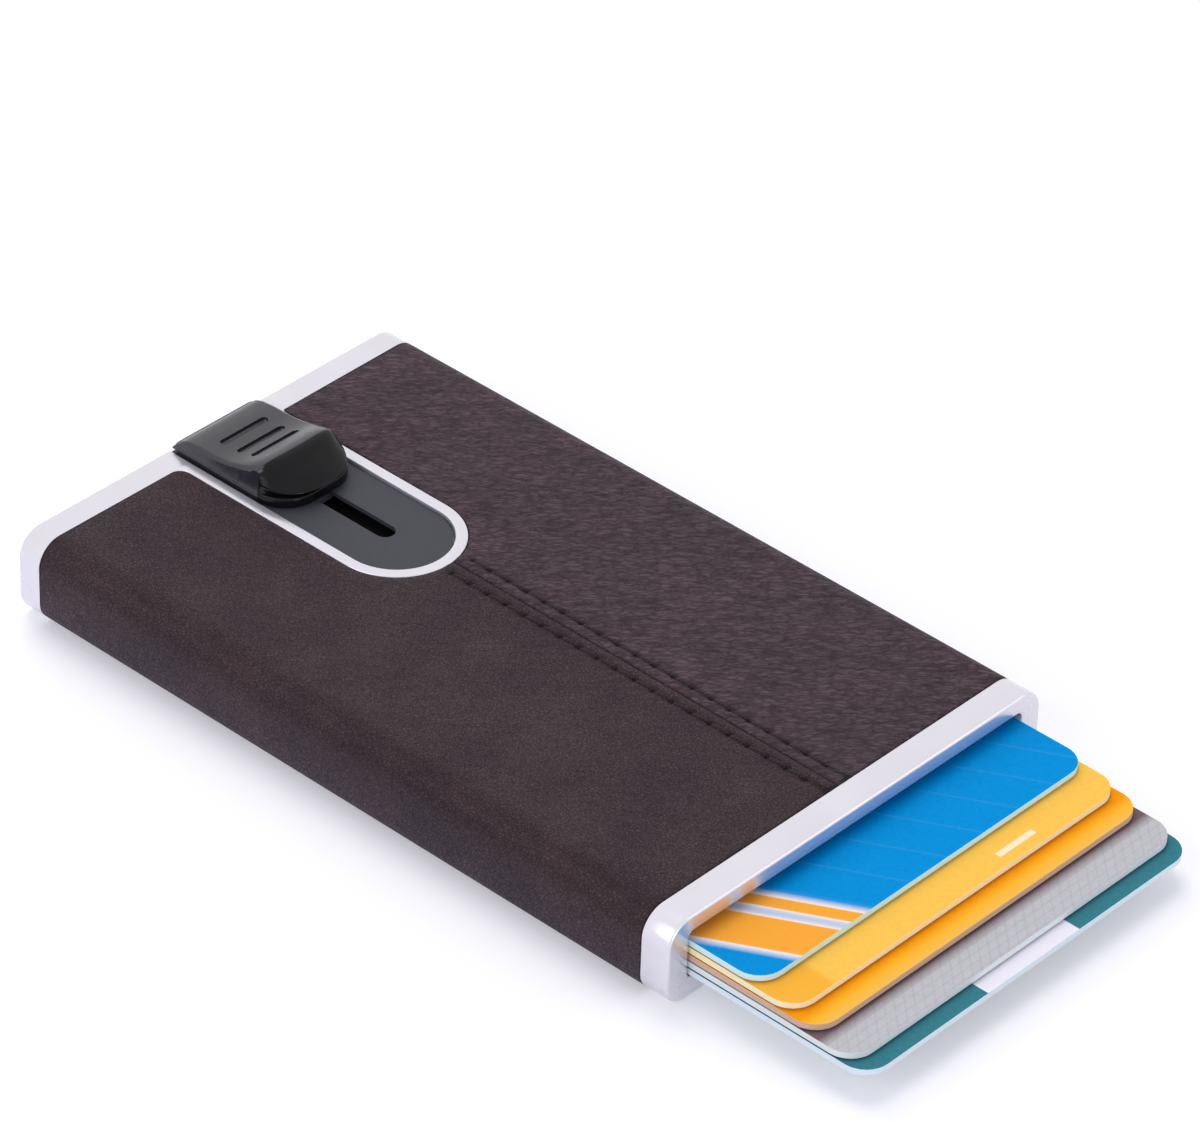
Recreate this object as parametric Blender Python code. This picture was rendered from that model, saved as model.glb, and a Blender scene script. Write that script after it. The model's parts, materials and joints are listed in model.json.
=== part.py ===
"""Pop up card holder: a flat leather wrapped metal case whose thumb slider pushes a fan of cards out.

Metres, +Z up. X is across the width, the mouth faces -Y and the origin is the centre of the flat underside.
"""

import math

import bmesh
import bpy
from mathutils import Vector

# Clearances
FIT_GAP = 0.0003
SLIDE_GAP = 0.0003
CUT_OVERRUN = 0.0010
WELD_DISTANCE = 0.000001
FLAT_ANGLE = math.radians(0.1)

# Cards, of the standard size for bank cards
CARD_LENGTH = 0.08560
CARD_WIDTH = 0.05398
CARD_THICKNESS = 0.00076
CARD_CORNER_RADIUS = 0.00318
CARD_PITCH = 0.00097
CARD_COUNT = 5
CARD_RECESS = 0.0010
CARD_SIDE_PLAY = 0.00046

# How far each card stands out of the mouth, the top card first
CARD_1_SHOWS = 0.0100
CARD_2_SHOWS = 0.0147
CARD_3_SHOWS = 0.0180
CARD_4_SHOWS = 0.0229
CARD_5_SHOWS = 0.02505

# Walls of the case
LEATHER_THICKNESS = 0.0010
SLEEVE_WALL = 0.0009
SLEEVE_SIDE_WALL = 0.0017
POCKET_CORNER_RADIUS = 0.0006
TOP_EDGE_RADIUS = 0.0032
BOTTOM_EDGE_RADIUS = 0.0030
LEAST_CORNER_RADIUS = 0.0002
LEATHER_SEAM_X = 0.0009
LEATHER_SEAM_GAP = 0.0003

# Metal end frames
FRONT_BAND_LENGTH = 0.0039
REAR_BAND_LENGTH = 0.0034
REAR_WALL = 0.0014
FRONT_RABBET_DEPTH = 0.0020
FRAME_EDGE_BEVEL = 0.00035
MOUTH_ROOF_WALL = 0.0021
MOUTH_FLOOR_WALL = 0.0027
MOUTH_SIDE_WALL = 0.0032
MOUTH_CORNER_RADIUS = 0.0008

# Slider track in the top, with its metal border
CHANNEL_HALF_WIDTH = 0.00675
BORDER_WIDTH = 0.00145
BORDER_FLARE_LEFT = 0.0015
BORDER_FLARE_RIGHT = 0.0006
BORDER_LEAD = 0.0005
PLATE_THICKNESS = 0.00055
PLATE_SIDE_GAP = 0.0002
SLOT_SIDE_GAP = 0.0003
SLOT_END_GAP = 0.0004

# Slider
SLIDER_TRAVEL = 0.0120
SLIDER_REAR_INSET = 0.0001
SLIDER_LENGTH = 0.0184
SLIDER_HEIGHT = 0.00455
SLIDER_FOOT_GAP = 0.0002
SLIDER_SIDE_GAP = 0.00035
SLIDER_FOOT_HEIGHT = 0.00115
SLIDER_FOOT_CORNER_RADIUS = 0.0045
SLIDER_BODY_INSET = 0.0001
SLIDER_SIDE_DRAFT = math.radians(6.0)
SLIDER_EDGE_RADIUS = 0.00035
SLIDER_REAR_CORNER_RADIUS = 0.0007
LIP_OVERHANG = 0.0006
LIP_PLAN_RADIUS = 0.0060
GROOVE_LENGTH = 0.0075
GROOVE_WIDTH = 0.0009
GROOVE_DEPTH = 0.0004
STEM_HALF_WIDTH = 0.00095
STEM_LENGTH = 0.0070
STEM_FRONT_INSET = 0.0014
SHOE_HALF_WIDTH = 0.0027
SHOE_LEAD = 0.0007
SHOE_CORNER_RADIUS = 0.0008
WINDOW_END_GAP = 0.0020

# The slider's side profile, as shares of its length from the rear and of its height
TOP_PROFILE_SHARES = (
    (0.000, 0.055),
    (0.092, 0.418),
    (0.125, 0.462),
    (0.223, 0.516),
    (0.337, 0.516),
    (0.418, 0.538),
    (0.473, 0.571),
    (0.565, 0.648),
    (0.630, 0.769),
    (0.696, 0.923),
    (0.739, 0.982),
    (0.788, 1.000),
    (0.832, 0.956),
    (0.864, 0.879),
    (0.908, 0.736),
    (0.962, 0.582),
    (1.011, 0.451),
    (1.033, 0.385),
)
LIP_UNDERSIDE_SHARE = 0.335
UNDERCUT_ROOT_SHARES = (0.918, 0.310)
GROOVE_PLACE_SHARES = (0.293, 0.440, 0.549)

# Ejector
STEP_DEPTH = 0.0024
STEP_WEB = 0.0008
ARM_THICKNESS = 0.00045
ARM_HEADROOM = 0.00028
ARM_HALF_WIDTH = 0.0060
ARM_TIP_RADIUS = 0.0015
ARM_SHOULDER_RADIUS = 0.0030
ARM_SHOULDER_DEPTH = 0.0026
ARM_LEAD = 0.0132
FLANGE_THICKNESS = 0.0005
EJECTOR_REAR_GAP = 0.0005
PIN_RADIUS = 0.0006
PIN_SIDE_PLACE = 0.0160
PIN_DEPTH = 0.0035

# Felt strips that hold the cards by friction
FELT_THICKNESS = 0.00033
FELT_DEPTH = 0.0060
FELT_SETBACK = 0.0006

# Steps along round outlines
CORNER_STEPS = 8
TIP_STEPS = 28
SMALL_ARC_STEPS = 6
PIN_SIDES = 24

# Heights worked out from the stack of cards, from the underside up
STACK_HEIGHT = CARD_PITCH * (CARD_COUNT - 1) + CARD_THICKNESS
POCKET_FLOOR = LEATHER_THICKNESS + FIT_GAP + SLEEVE_WALL
STACK_BOTTOM = POCKET_FLOOR + FIT_GAP + FELT_THICKNESS + SLIDE_GAP
STACK_TOP = STACK_BOTTOM + STACK_HEIGHT
ARM_BOTTOM = STACK_TOP + SLIDE_GAP
ARM_TOP = ARM_BOTTOM + ARM_THICKNESS
POCKET_ROOF = ARM_TOP + ARM_HEADROOM
SLEEVE_TOP = POCKET_ROOF + SLEEVE_WALL
CASE_HEIGHT = SLEEVE_TOP + FIT_GAP + LEATHER_THICKNESS
PLATE_BOTTOM = SLEEVE_TOP + FIT_GAP
PLATE_TOP = PLATE_BOTTOM + PLATE_THICKNESS
SLIDER_BOTTOM = PLATE_TOP + SLIDER_FOOT_GAP
SHOE_BOTTOM = ARM_TOP + FIT_GAP
SHOE_TOP = PLATE_BOTTOM - SLIDE_GAP

# Widths worked out from the card
POCKET_HALF_WIDTH = CARD_WIDTH / 2 + CARD_SIDE_PLAY
CASE_HALF_WIDTH = POCKET_HALF_WIDTH + SLEEVE_SIDE_WALL + FIT_GAP + LEATHER_THICKNESS
BORDER_HALF_WIDTH = CHANNEL_HALF_WIDTH + BORDER_WIDTH
SLIDER_HALF_WIDTH = CHANNEL_HALF_WIDTH - SLIDER_SIDE_GAP
EJECTOR_HALF_WIDTH = POCKET_HALF_WIDTH - SLIDE_GAP

# Places along the length, worked out from the card and the ejector behind it
STAIR_DEPTH = STEP_DEPTH * (CARD_COUNT - 1) + STEP_WEB
EJECTOR_DEPTH = STAIR_DEPTH + FIT_GAP + FLANGE_THICKNESS
CASE_LENGTH = CARD_RECESS + CARD_LENGTH + SLIDE_GAP + EJECTOR_DEPTH + EJECTOR_REAR_GAP + REAR_WALL
MOUTH_Y = -CASE_LENGTH / 2
REAR_Y = CASE_LENGTH / 2
FRONT_BAND_END = MOUTH_Y + FRONT_BAND_LENGTH
REAR_BAND_START = REAR_Y - REAR_BAND_LENGTH
REAR_WALL_FACE = REAR_Y - REAR_WALL
FLANGE_REAR = REAR_WALL_FACE - EJECTOR_REAR_GAP
FLANGE_FRONT = FLANGE_REAR - FLANGE_THICKNESS
STAIR_REAR = FLANGE_FRONT - FIT_GAP
STAIR_FRONT = STAIR_REAR - STAIR_DEPTH
SLEEVE_FRONT = FRONT_BAND_END - FRONT_RABBET_DEPTH + FIT_GAP
SLEEVE_REAR = REAR_WALL_FACE - FIT_GAP
SLIDER_REAR = REAR_Y - SLIDER_REAR_INSET
SLIDER_FRONT = SLIDER_REAR - SLIDER_LENGTH
STEM_FRONT = SLIDER_FRONT + STEM_FRONT_INSET
STEM_REAR = STEM_FRONT + STEM_LENGTH
SLOT_FRONT = STEM_FRONT - SLIDER_TRAVEL - SLOT_END_GAP
SLOT_REAR = STEM_REAR + SLOT_END_GAP
TRACK_TIP_CENTRE = SLOT_FRONT - BORDER_LEAD
SHOE_FRONT = STEM_FRONT - SHOE_LEAD
SHOE_REAR = STEM_REAR + SHOE_LEAD

# Colours, with roughness and how metallic each finish is
SATIN_METAL = ((0.80, 0.79, 0.81), 0.32, 1.0)
ALUMINIUM = ((0.72, 0.72, 0.74), 0.45, 1.0)
BLACKENED_STEEL = ((0.045, 0.045, 0.050), 0.40, 1.0)
PIN_STEEL = ((0.55, 0.55, 0.57), 0.35, 1.0)
BROWN_LEATHER = ((0.060, 0.040, 0.040), 0.60, 0.0)
SLATE_PLATE = ((0.085, 0.087, 0.105), 0.45, 0.0)
BLACK_PLASTIC = ((0.020, 0.021, 0.023), 0.38, 0.0)
GREY_PLASTIC = ((0.10, 0.10, 0.11), 0.50, 0.0)
DARK_FELT = ((0.030, 0.030, 0.034), 0.95, 0.0)
BLUE_CARD = ((0.0, 0.28, 0.71), 0.30, 0.0)
AMBER_CARD = ((0.97, 0.53, 0.07), 0.30, 0.0)
ORANGE_CARD = ((0.95, 0.39, 0.01), 0.30, 0.0)
GREY_CARD = ((0.55, 0.54, 0.56), 0.35, 0.0)
TEAL_CARD = ((0.04, 0.21, 0.23), 0.30, 0.0)

# How an outline's plane is turned into the case, so that its depth runs along the named axis
TURN_FOR_DEPTH_ALONG = {
    "X": (math.radians(90.0), 0.0, math.radians(90.0)),
    "Y": (math.radians(90.0), 0.0, 0.0),
    "Z": (0.0, 0.0, 0.0),
}


def clear_scene():
    """Removes every object that the file opened with."""
    for item in list(bpy.data.objects):
        bpy.data.objects.remove(item, do_unlink=True)


def new_collection(name):
    collection = bpy.data.collections.new(name)
    bpy.context.scene.collection.children.link(collection)
    return collection


def new_material(name, finish):
    colour, roughness, metallic = finish
    material = bpy.data.materials.new(name)
    material.use_nodes = True
    shader = material.node_tree.nodes["Principled BSDF"]
    shader.inputs["Base Color"].default_value = (*colour, 1.0)
    shader.inputs["Roughness"].default_value = roughness
    shader.inputs["Metallic"].default_value = metallic
    material.diffuse_color = (*colour, 1.0)
    return material


def arc(centre, radius, start, end, steps):
    """Points along an arc, both ends included, with its angles in degrees."""
    points = []
    for step in range(steps + 1):
        angle = math.radians(start + (end - start) * step / steps)
        points.append((centre[0] + radius * math.cos(angle), centre[1] + radius * math.sin(angle)))
    return points


def rounded_box(half_width, low, high, low_radius, high_radius, steps=CORNER_STEPS):
    """A box outline with round corners, clockwise from the high side's right corner to its left one."""
    right = half_width - high_radius
    low_right = half_width - low_radius
    points = arc((right, high - high_radius), high_radius, 90, 0, steps)
    points += arc((low_right, low + low_radius), low_radius, 0, -90, steps)
    points += arc((-low_right, low + low_radius), low_radius, -90, -180, steps)
    points += arc((-right, high - high_radius), high_radius, 180, 90, steps)
    return points


def slot_outline(half_width, front, rear, steps=SMALL_ARC_STEPS):
    """A straight slot with round ends, along the second axis."""
    points = arc((0, rear - half_width), half_width, 0, 180, 2 * steps)
    points += arc((0, front + half_width), half_width, 180, 360, 2 * steps)
    return points


def case_section(inset):
    """The case's cross-section, moved in by inset. Frames, leather and sleeve all nest by it."""
    top_radius = max(TOP_EDGE_RADIUS - inset, LEAST_CORNER_RADIUS)
    bottom_radius = max(BOTTOM_EDGE_RADIUS - inset, LEAST_CORNER_RADIUS)
    return rounded_box(CASE_HALF_WIDTH - inset, inset, CASE_HEIGHT - inset, bottom_radius, top_radius)


def track_path(half_width, rear, left_flare, right_flare):
    """The U of the slider track from above, from its left rear end round the tip to its right one."""
    points = []
    if left_flare > 0:
        points += arc((-half_width - left_flare, rear - left_flare), left_flare, 90, 0, SMALL_ARC_STEPS)
    else:
        points.append((-half_width, rear))
    points += arc((0, TRACK_TIP_CENTRE), half_width, 180, 360, TIP_STEPS)
    if right_flare > 0:
        points += arc((half_width + right_flare, rear - right_flare), right_flare, 180, 90, SMALL_ARC_STEPS)
    else:
        points.append((half_width, rear))
    return points


def outline_piece(name, outlines, start, end, depth_axis, collection):
    """Flat outlines as a filled 2D curve, extruded from start to end along an axis, made a welded mesh."""
    curve = bpy.data.curves.new(name + "_outline", "CURVE")
    curve.dimensions = "2D"
    curve.fill_mode = "BOTH"
    curve.extrude = (end - start) / 2
    for outline in outlines:
        spline = curve.splines.new("POLY")
        spline.points.add(len(outline) - 1)
        for point, (across, along) in zip(spline.points, outline):
            point.co = (across, along, 0.0, 1.0)
        spline.use_cyclic_u = True
    guide = bpy.data.objects.new(name + "_outline", curve)
    guide.rotation_euler = TURN_FOR_DEPTH_ALONG[depth_axis]
    guide.location["XYZ".index(depth_axis)] = (start + end) / 2
    bpy.context.scene.collection.objects.link(guide)
    bpy.context.view_layer.update()
    evaluated = guide.evaluated_get(bpy.context.evaluated_depsgraph_get())
    mesh = bpy.data.meshes.new_from_object(evaluated)
    mesh.name = name
    piece = bpy.data.objects.new(name, mesh)
    piece.matrix_world = guide.matrix_world
    collection.objects.link(piece)
    bpy.data.objects.remove(guide, do_unlink=True)
    weld(mesh, whole_caps=len(outlines) == 1)
    return piece


def weld(mesh, whole_caps):
    """Joins the loose caps of a converted curve to its sides. A cap with no hole becomes one face."""
    work = bmesh.new()
    work.from_mesh(mesh)
    bmesh.ops.remove_doubles(work, verts=work.verts, dist=WELD_DISTANCE)
    if whole_caps:
        bmesh.ops.dissolve_limit(work, angle_limit=FLAT_ANGLE, verts=work.verts, edges=work.edges)
    bmesh.ops.recalc_face_normals(work, faces=work.faces)
    work.to_mesh(mesh)
    work.free()


def box_piece(name, low, high, collection):
    """A plain box between two corners, with its scale in the mesh."""
    low, high = Vector(low), Vector(high)
    mesh = bpy.data.meshes.new(name)
    work = bmesh.new()
    bmesh.ops.create_cube(work, size=1.0)
    bmesh.ops.scale(work, vec=high - low, verts=work.verts)
    work.to_mesh(mesh)
    work.free()
    piece = bpy.data.objects.new(name, mesh)
    piece.location = (low + high) / 2
    collection.objects.link(piece)
    return piece


def rod_piece(name, radius, start, end, collection):
    """A round rod between two points that lie along Y."""
    start, end = Vector(start), Vector(end)
    mesh = bpy.data.meshes.new(name)
    work = bmesh.new()
    bmesh.ops.create_cone(
        work,
        cap_ends=True,
        segments=PIN_SIDES,
        radius1=radius,
        radius2=radius,
        depth=(end - start).length,
    )
    work.to_mesh(mesh)
    work.free()
    piece = bpy.data.objects.new(name, mesh)
    piece.rotation_euler = (math.radians(90.0), 0.0, 0.0)
    piece.location = (start + end) / 2
    collection.objects.link(piece)
    return piece


def combine(piece, other, operation):
    """Adds an exact Boolean with another object, which stays as a hidden guide."""
    modifier = piece.modifiers.new(operation.lower() + "_" + other.name, "BOOLEAN")
    modifier.operation = operation
    modifier.solver = "EXACT"
    modifier.object = other
    other.hide_render = True
    other.display_type = "WIRE"


def soften_end(piece, y, inset):
    """Bevels the outline of the end face at the given place along the case."""
    work = bmesh.new()
    work.from_mesh(piece.data)
    place = piece.matrix_world
    ends = [
        edge
        for edge in work.edges
        if all(abs((place @ corner.co).y - y) < WELD_DISTANCE for corner in edge.verts)
    ]
    bmesh.ops.bevel(work, geom=ends, offset=inset, segments=2, profile=0.5, affect="EDGES")
    work.to_mesh(piece.data)
    work.free()


def finish_piece(piece, finish, carrier):
    """Gives a piece its material, smooth shading with sharp edges, and the empty that carries it."""
    piece.data.materials.append(new_material(piece.name + "_material", finish))
    piece.data.shade_smooth()
    piece.data.set_sharp_from_angle(angle=math.radians(30.0))
    bpy.context.view_layer.update()
    piece.parent = carrier
    piece.matrix_parent_inverse = carrier.matrix_world.inverted()
    return piece


def new_carrier(name, place, collection, parent=None):
    """An empty on a body's own datum, so that moving it moves the whole body."""
    carrier = bpy.data.objects.new(name, None)
    carrier.location = place
    carrier.empty_display_size = CASE_HEIGHT
    collection.objects.link(carrier)
    bpy.context.view_layer.update()
    if parent:
        carrier.parent = parent
        carrier.matrix_parent_inverse = parent.matrix_world.inverted()
    return carrier


def make_inner_sleeve(parts, cutters, case):
    """The flat tube that holds the cards, with a window in its roof for the slider's shoe."""
    outer = case_section(LEATHER_THICKNESS + FIT_GAP)
    pocket = rounded_box(
        POCKET_HALF_WIDTH,
        POCKET_FLOOR,
        POCKET_ROOF,
        POCKET_CORNER_RADIUS,
        POCKET_CORNER_RADIUS,
        SMALL_ARC_STEPS,
    )
    sleeve = outline_piece("inner_sleeve", [outer, pocket], SLEEVE_FRONT, SLEEVE_REAR, "Y", parts)
    window_front = SHOE_FRONT - SLIDER_TRAVEL - WINDOW_END_GAP
    window_rear = SHOE_REAR + WINDOW_END_GAP
    window = slot_outline(SHOE_HALF_WIDTH + SLIDE_GAP, window_front, window_rear)
    low = POCKET_ROOF - CUT_OVERRUN
    cutter = outline_piece("sleeve_window_cut", [window], low, SLEEVE_TOP + CUT_OVERRUN, "Z", cutters)
    combine(sleeve, cutter, "DIFFERENCE")
    return finish_piece(sleeve, ALUMINIUM, case)


def make_leather_wrap(parts, cutters, case):
    """One sheet round the sleeve between the frames, its edges meeting at a seam, cut out for the track."""
    inner_top = CASE_HEIGHT - LEATHER_THICKNESS
    seam_right = LEATHER_SEAM_X + LEATHER_SEAM_GAP / 2
    seam_left = LEATHER_SEAM_X - LEATHER_SEAM_GAP / 2
    sheet = [(seam_right, CASE_HEIGHT)] + case_section(0.0) + [(seam_left, CASE_HEIGHT)]
    sheet += [(seam_left, inner_top)] + case_section(LEATHER_THICKNESS)[::-1] + [(seam_right, inner_top)]
    front = FRONT_BAND_END + FIT_GAP
    rear = REAR_BAND_START - FIT_GAP
    wrap = outline_piece("leather_wrap", [sheet], front, rear, "Y", parts)
    opening = track_path(
        BORDER_HALF_WIDTH + FIT_GAP, rear, BORDER_FLARE_LEFT - FIT_GAP, BORDER_FLARE_RIGHT - FIT_GAP
    )
    left_end, right_end = opening[0][0], opening[-1][0]
    opening += [(right_end, rear + CUT_OVERRUN), (left_end, rear + CUT_OVERRUN)]
    low = inner_top - CUT_OVERRUN
    cutter = outline_piece("leather_track_cut", [opening], low, CASE_HEIGHT + CUT_OVERRUN, "Z", cutters)
    combine(wrap, cutter, "DIFFERENCE")
    return finish_piece(wrap, BROWN_LEATHER, case)


def make_front_frame(parts, cutters, case):
    """The metal mouth: a band with a letterbox opening, stepped behind for the sleeve's end."""
    frame = outline_piece("front_frame", [case_section(0.0)], MOUTH_Y, FRONT_BAND_END, "Y", parts)
    soften_end(frame, MOUTH_Y, FRAME_EDGE_BEVEL)
    mouth = rounded_box(
        CASE_HALF_WIDTH - MOUTH_SIDE_WALL,
        MOUTH_FLOOR_WALL,
        CASE_HEIGHT - MOUTH_ROOF_WALL,
        MOUTH_CORNER_RADIUS,
        MOUTH_CORNER_RADIUS,
        SMALL_ARC_STEPS,
    )
    mouth_end = FRONT_BAND_END + CUT_OVERRUN
    mouth_cut = outline_piece("mouth_cut", [mouth], MOUTH_Y - CUT_OVERRUN, mouth_end, "Y", cutters)
    combine(frame, mouth_cut, "DIFFERENCE")
    step = case_section(LEATHER_THICKNESS)
    step_front = FRONT_BAND_END - FRONT_RABBET_DEPTH
    step_cut = outline_piece("front_step_cut", [step], step_front, mouth_end, "Y", cutters)
    combine(frame, step_cut, "DIFFERENCE")
    return finish_piece(frame, SATIN_METAL, case)


def make_rear_frame(parts, cutters, case):
    """The closed rear end with the track's border, which runs forward over the sleeve in one piece."""
    tip = TRACK_TIP_CENTRE - BORDER_HALF_WIDTH
    front = tip - CUT_OVERRUN
    frame = outline_piece("rear_frame", [case_section(0.0)], front, REAR_Y, "Y", parts)
    soften_end(frame, REAR_Y, FRAME_EDGE_BEVEL)
    wide = CASE_HALF_WIDTH + CUT_OVERRUN
    under = box_piece(
        "under_border_cut",
        (-wide, front - CUT_OVERRUN, -CUT_OVERRUN),
        (wide, REAR_BAND_START, PLATE_BOTTOM),
        cutters,
    )
    combine(frame, under, "DIFFERENCE")
    step = case_section(LEATHER_THICKNESS)
    step_front = REAR_BAND_START - CUT_OVERRUN
    step_cut = outline_piece("rear_step_cut", [step], step_front, REAR_WALL_FACE, "Y", cutters)
    combine(frame, step_cut, "DIFFERENCE")
    low = PLATE_BOTTOM - CUT_OVERRUN
    high = CASE_HEIGHT + CUT_OVERRUN
    field = track_path(BORDER_HALF_WIDTH, REAR_BAND_START, BORDER_FLARE_LEFT, BORDER_FLARE_RIGHT)
    field += [(wide, REAR_BAND_START), (wide, front - CUT_OVERRUN)]
    field += [(-wide, front - CUT_OVERRUN), (-wide, REAR_BAND_START)]
    field_cut = outline_piece("leather_field_cut", [field], low, high, "Z", cutters)
    combine(frame, field_cut, "DIFFERENCE")
    channel = track_path(CHANNEL_HALF_WIDTH, REAR_Y + CUT_OVERRUN, 0.0, 0.0)
    channel_cut = outline_piece("channel_cut", [channel], SLEEVE_TOP, high, "Z", cutters)
    combine(frame, channel_cut, "DIFFERENCE")
    return finish_piece(frame, SATIN_METAL, case)


def make_track_plate(parts, case):
    """The dark plate that fills the channel, with the slot that guides the slider's stem."""
    edge = track_path(CHANNEL_HALF_WIDTH - PLATE_SIDE_GAP, REAR_Y, 0.0, 0.0)
    slot = slot_outline(STEM_HALF_WIDTH + SLOT_SIDE_GAP, SLOT_FRONT, SLOT_REAR)
    plate = outline_piece("track_plate", [edge, slot], PLATE_BOTTOM, PLATE_TOP, "Z", parts)
    return finish_piece(plate, SLATE_PLATE, case)


def slider_top(share):
    """The height of the slider's top above its foot, at a share of its length from the rear."""
    for (start, low), (end, high) in zip(TOP_PROFILE_SHARES, TOP_PROFILE_SHARES[1:]):
        if start <= share <= end:
            return SLIDER_HEIGHT * (low + (high - low) * (share - start) / (end - start))
    return 0.0


def slider_top_points():
    """The slider's top from the side: a low tail, a ramp up to the thumb crest and a chute to the lip."""
    points = []
    for along, up in TOP_PROFILE_SHARES:
        points.append((SLIDER_REAR - along * SLIDER_LENGTH, SLIDER_BOTTOM + up * SLIDER_HEIGHT))
    return points


def slider_side_outline():
    """The whole side outline, with the undercut that leaves the lip standing over the foot."""
    points = [(SLIDER_REAR, SLIDER_BOTTOM)] + slider_top_points()
    root_share, root_height_share = UNDERCUT_ROOT_SHARES
    root_y = SLIDER_REAR - root_share * SLIDER_LENGTH
    points.append((points[-1][0], SLIDER_BOTTOM + LIP_UNDERSIDE_SHARE * SLIDER_HEIGHT))
    points.append((root_y, SLIDER_BOTTOM + root_height_share * SLIDER_HEIGHT))
    points.append((root_y, SLIDER_BOTTOM))
    return points


def slider_plan_outline(half_width):
    """The slider from above: straight sides, small rear corners and a front rounded to the lip's arc."""
    lip_centre = SLIDER_FRONT - LIP_OVERHANG + LIP_PLAN_RADIUS
    reach = math.degrees(math.asin(min(half_width / LIP_PLAN_RADIUS, 1.0)))
    radius = SLIDER_REAR_CORNER_RADIUS
    rear = SLIDER_REAR - radius
    points = arc((0, lip_centre), LIP_PLAN_RADIUS, 270 - reach, 270 + reach, 2 * CORNER_STEPS)
    points += arc((half_width - radius, rear), radius, 0, 90, SMALL_ARC_STEPS)
    points += arc((-half_width + radius, rear), radius, 90, 180, SMALL_ARC_STEPS)
    return points


def side_at(spot, half_width):
    """Where the slider's leaning side lies at a spot's height, on the spot's own side."""
    lean = math.tan(SLIDER_SIDE_DRAFT)
    return math.copysign(half_width - lean * (spot.z - SLIDER_BOTTOM), spot.x)


def lean_and_round_sides(button, half_width):
    """Leans the slider's sides in by their draft, then rounds the rim where they meet the top."""
    rim = slider_top_points()
    place = button.matrix_world
    back = place.inverted()
    work = bmesh.new()
    work.from_mesh(button.data)
    on_rim = set()
    for corner in work.verts:
        spot = place @ corner.co
        if min(math.dist((spot.y, spot.z), point) for point in rim) < WELD_DISTANCE:
            on_rim.add(corner)
        spot.x = side_at(spot, half_width)
        corner.co = back @ spot
    edges = []
    for edge in work.edges:
        first, second = edge.verts
        same_side = (place @ first.co).x * (place @ second.co).x > 0
        if same_side and first in on_rim and second in on_rim:
            edges.append(edge)
    bmesh.ops.bevel(
        work, geom=edges, offset=SLIDER_EDGE_RADIUS, segments=3, profile=0.5, affect="EDGES"
    )
    side_faces = sorted(work.faces, key=lambda face: len(face.verts))[-2:]
    for corner in {corner for face in side_faces for corner in face.verts}:
        spot = place @ corner.co
        spot.x = side_at(spot, half_width)
        corner.co = back @ spot
    work.to_mesh(button.data)
    work.free()


def make_slider_button(parts, cutters, slider):
    """The thumb slider: a drafted body trimmed to its plan, with a foot, three grooves and a stem below."""
    half_width = SLIDER_HALF_WIDTH - SLIDER_BODY_INSET
    top = SLIDER_BOTTOM + SLIDER_HEIGHT + CUT_OVERRUN
    low = SLIDER_BOTTOM - CUT_OVERRUN
    side = slider_side_outline()
    button = outline_piece("slider_button", [side], -half_width, half_width, "X", parts)
    lean_and_round_sides(button, half_width)
    plan = slider_plan_outline(half_width - SLIDER_BODY_INSET)
    plan_guide = outline_piece("slider_plan_guide", [plan], low, top, "Z", cutters)
    combine(button, plan_guide, "INTERSECT")
    for number, share in enumerate(GROOVE_PLACE_SHARES, 1):
        floor = SLIDER_BOTTOM + slider_top(share) - GROOVE_DEPTH
        groove = slot_outline(GROOVE_WIDTH / 2, -GROOVE_LENGTH / 2, GROOVE_LENGTH / 2)
        place = SLIDER_REAR - share * SLIDER_LENGTH
        groove = [(along, place - across) for across, along in groove]
        groove_cut = outline_piece(f"groove_cut_{number}", [groove], floor, top, "Z", cutters)
        combine(button, groove_cut, "DIFFERENCE")
    foot = rounded_box(
        SLIDER_HALF_WIDTH,
        SLIDER_FRONT,
        SLIDER_REAR - SLIDER_LENGTH / 2,
        SLIDER_FOOT_CORNER_RADIUS,
        SLIDER_REAR_CORNER_RADIUS,
        SMALL_ARC_STEPS,
    )
    foot_top = SLIDER_BOTTOM + SLIDER_FOOT_HEIGHT
    foot_guide = outline_piece("slider_foot_guide", [foot], SLIDER_BOTTOM, foot_top, "Z", cutters)
    combine(button, foot_guide, "UNION")
    stem = slot_outline(STEM_HALF_WIDTH, STEM_FRONT, STEM_REAR)
    stem_top = SLIDER_BOTTOM + SLIDER_FOOT_HEIGHT / 2
    stem_guide = outline_piece("slider_stem_guide", [stem], ARM_BOTTOM, stem_top, "Z", cutters)
    combine(button, stem_guide, "UNION")
    return finish_piece(button, BLACK_PLASTIC, slider)


def make_guide_shoe(parts, slider):
    """The shoe under the plate, wider than the slot, which keeps the slider from lifting off."""
    edge = rounded_box(
        SHOE_HALF_WIDTH, SHOE_FRONT, SHOE_REAR, SHOE_CORNER_RADIUS, SHOE_CORNER_RADIUS, SMALL_ARC_STEPS
    )
    socket = slot_outline(STEM_HALF_WIDTH + FIT_GAP, STEM_FRONT - FIT_GAP, STEM_REAR + FIT_GAP)
    shoe = outline_piece("guide_shoe", [edge, socket], SHOE_BOTTOM, SHOE_TOP, "Z", parts)
    return finish_piece(shoe, GREY_PLASTIC, slider)


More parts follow.
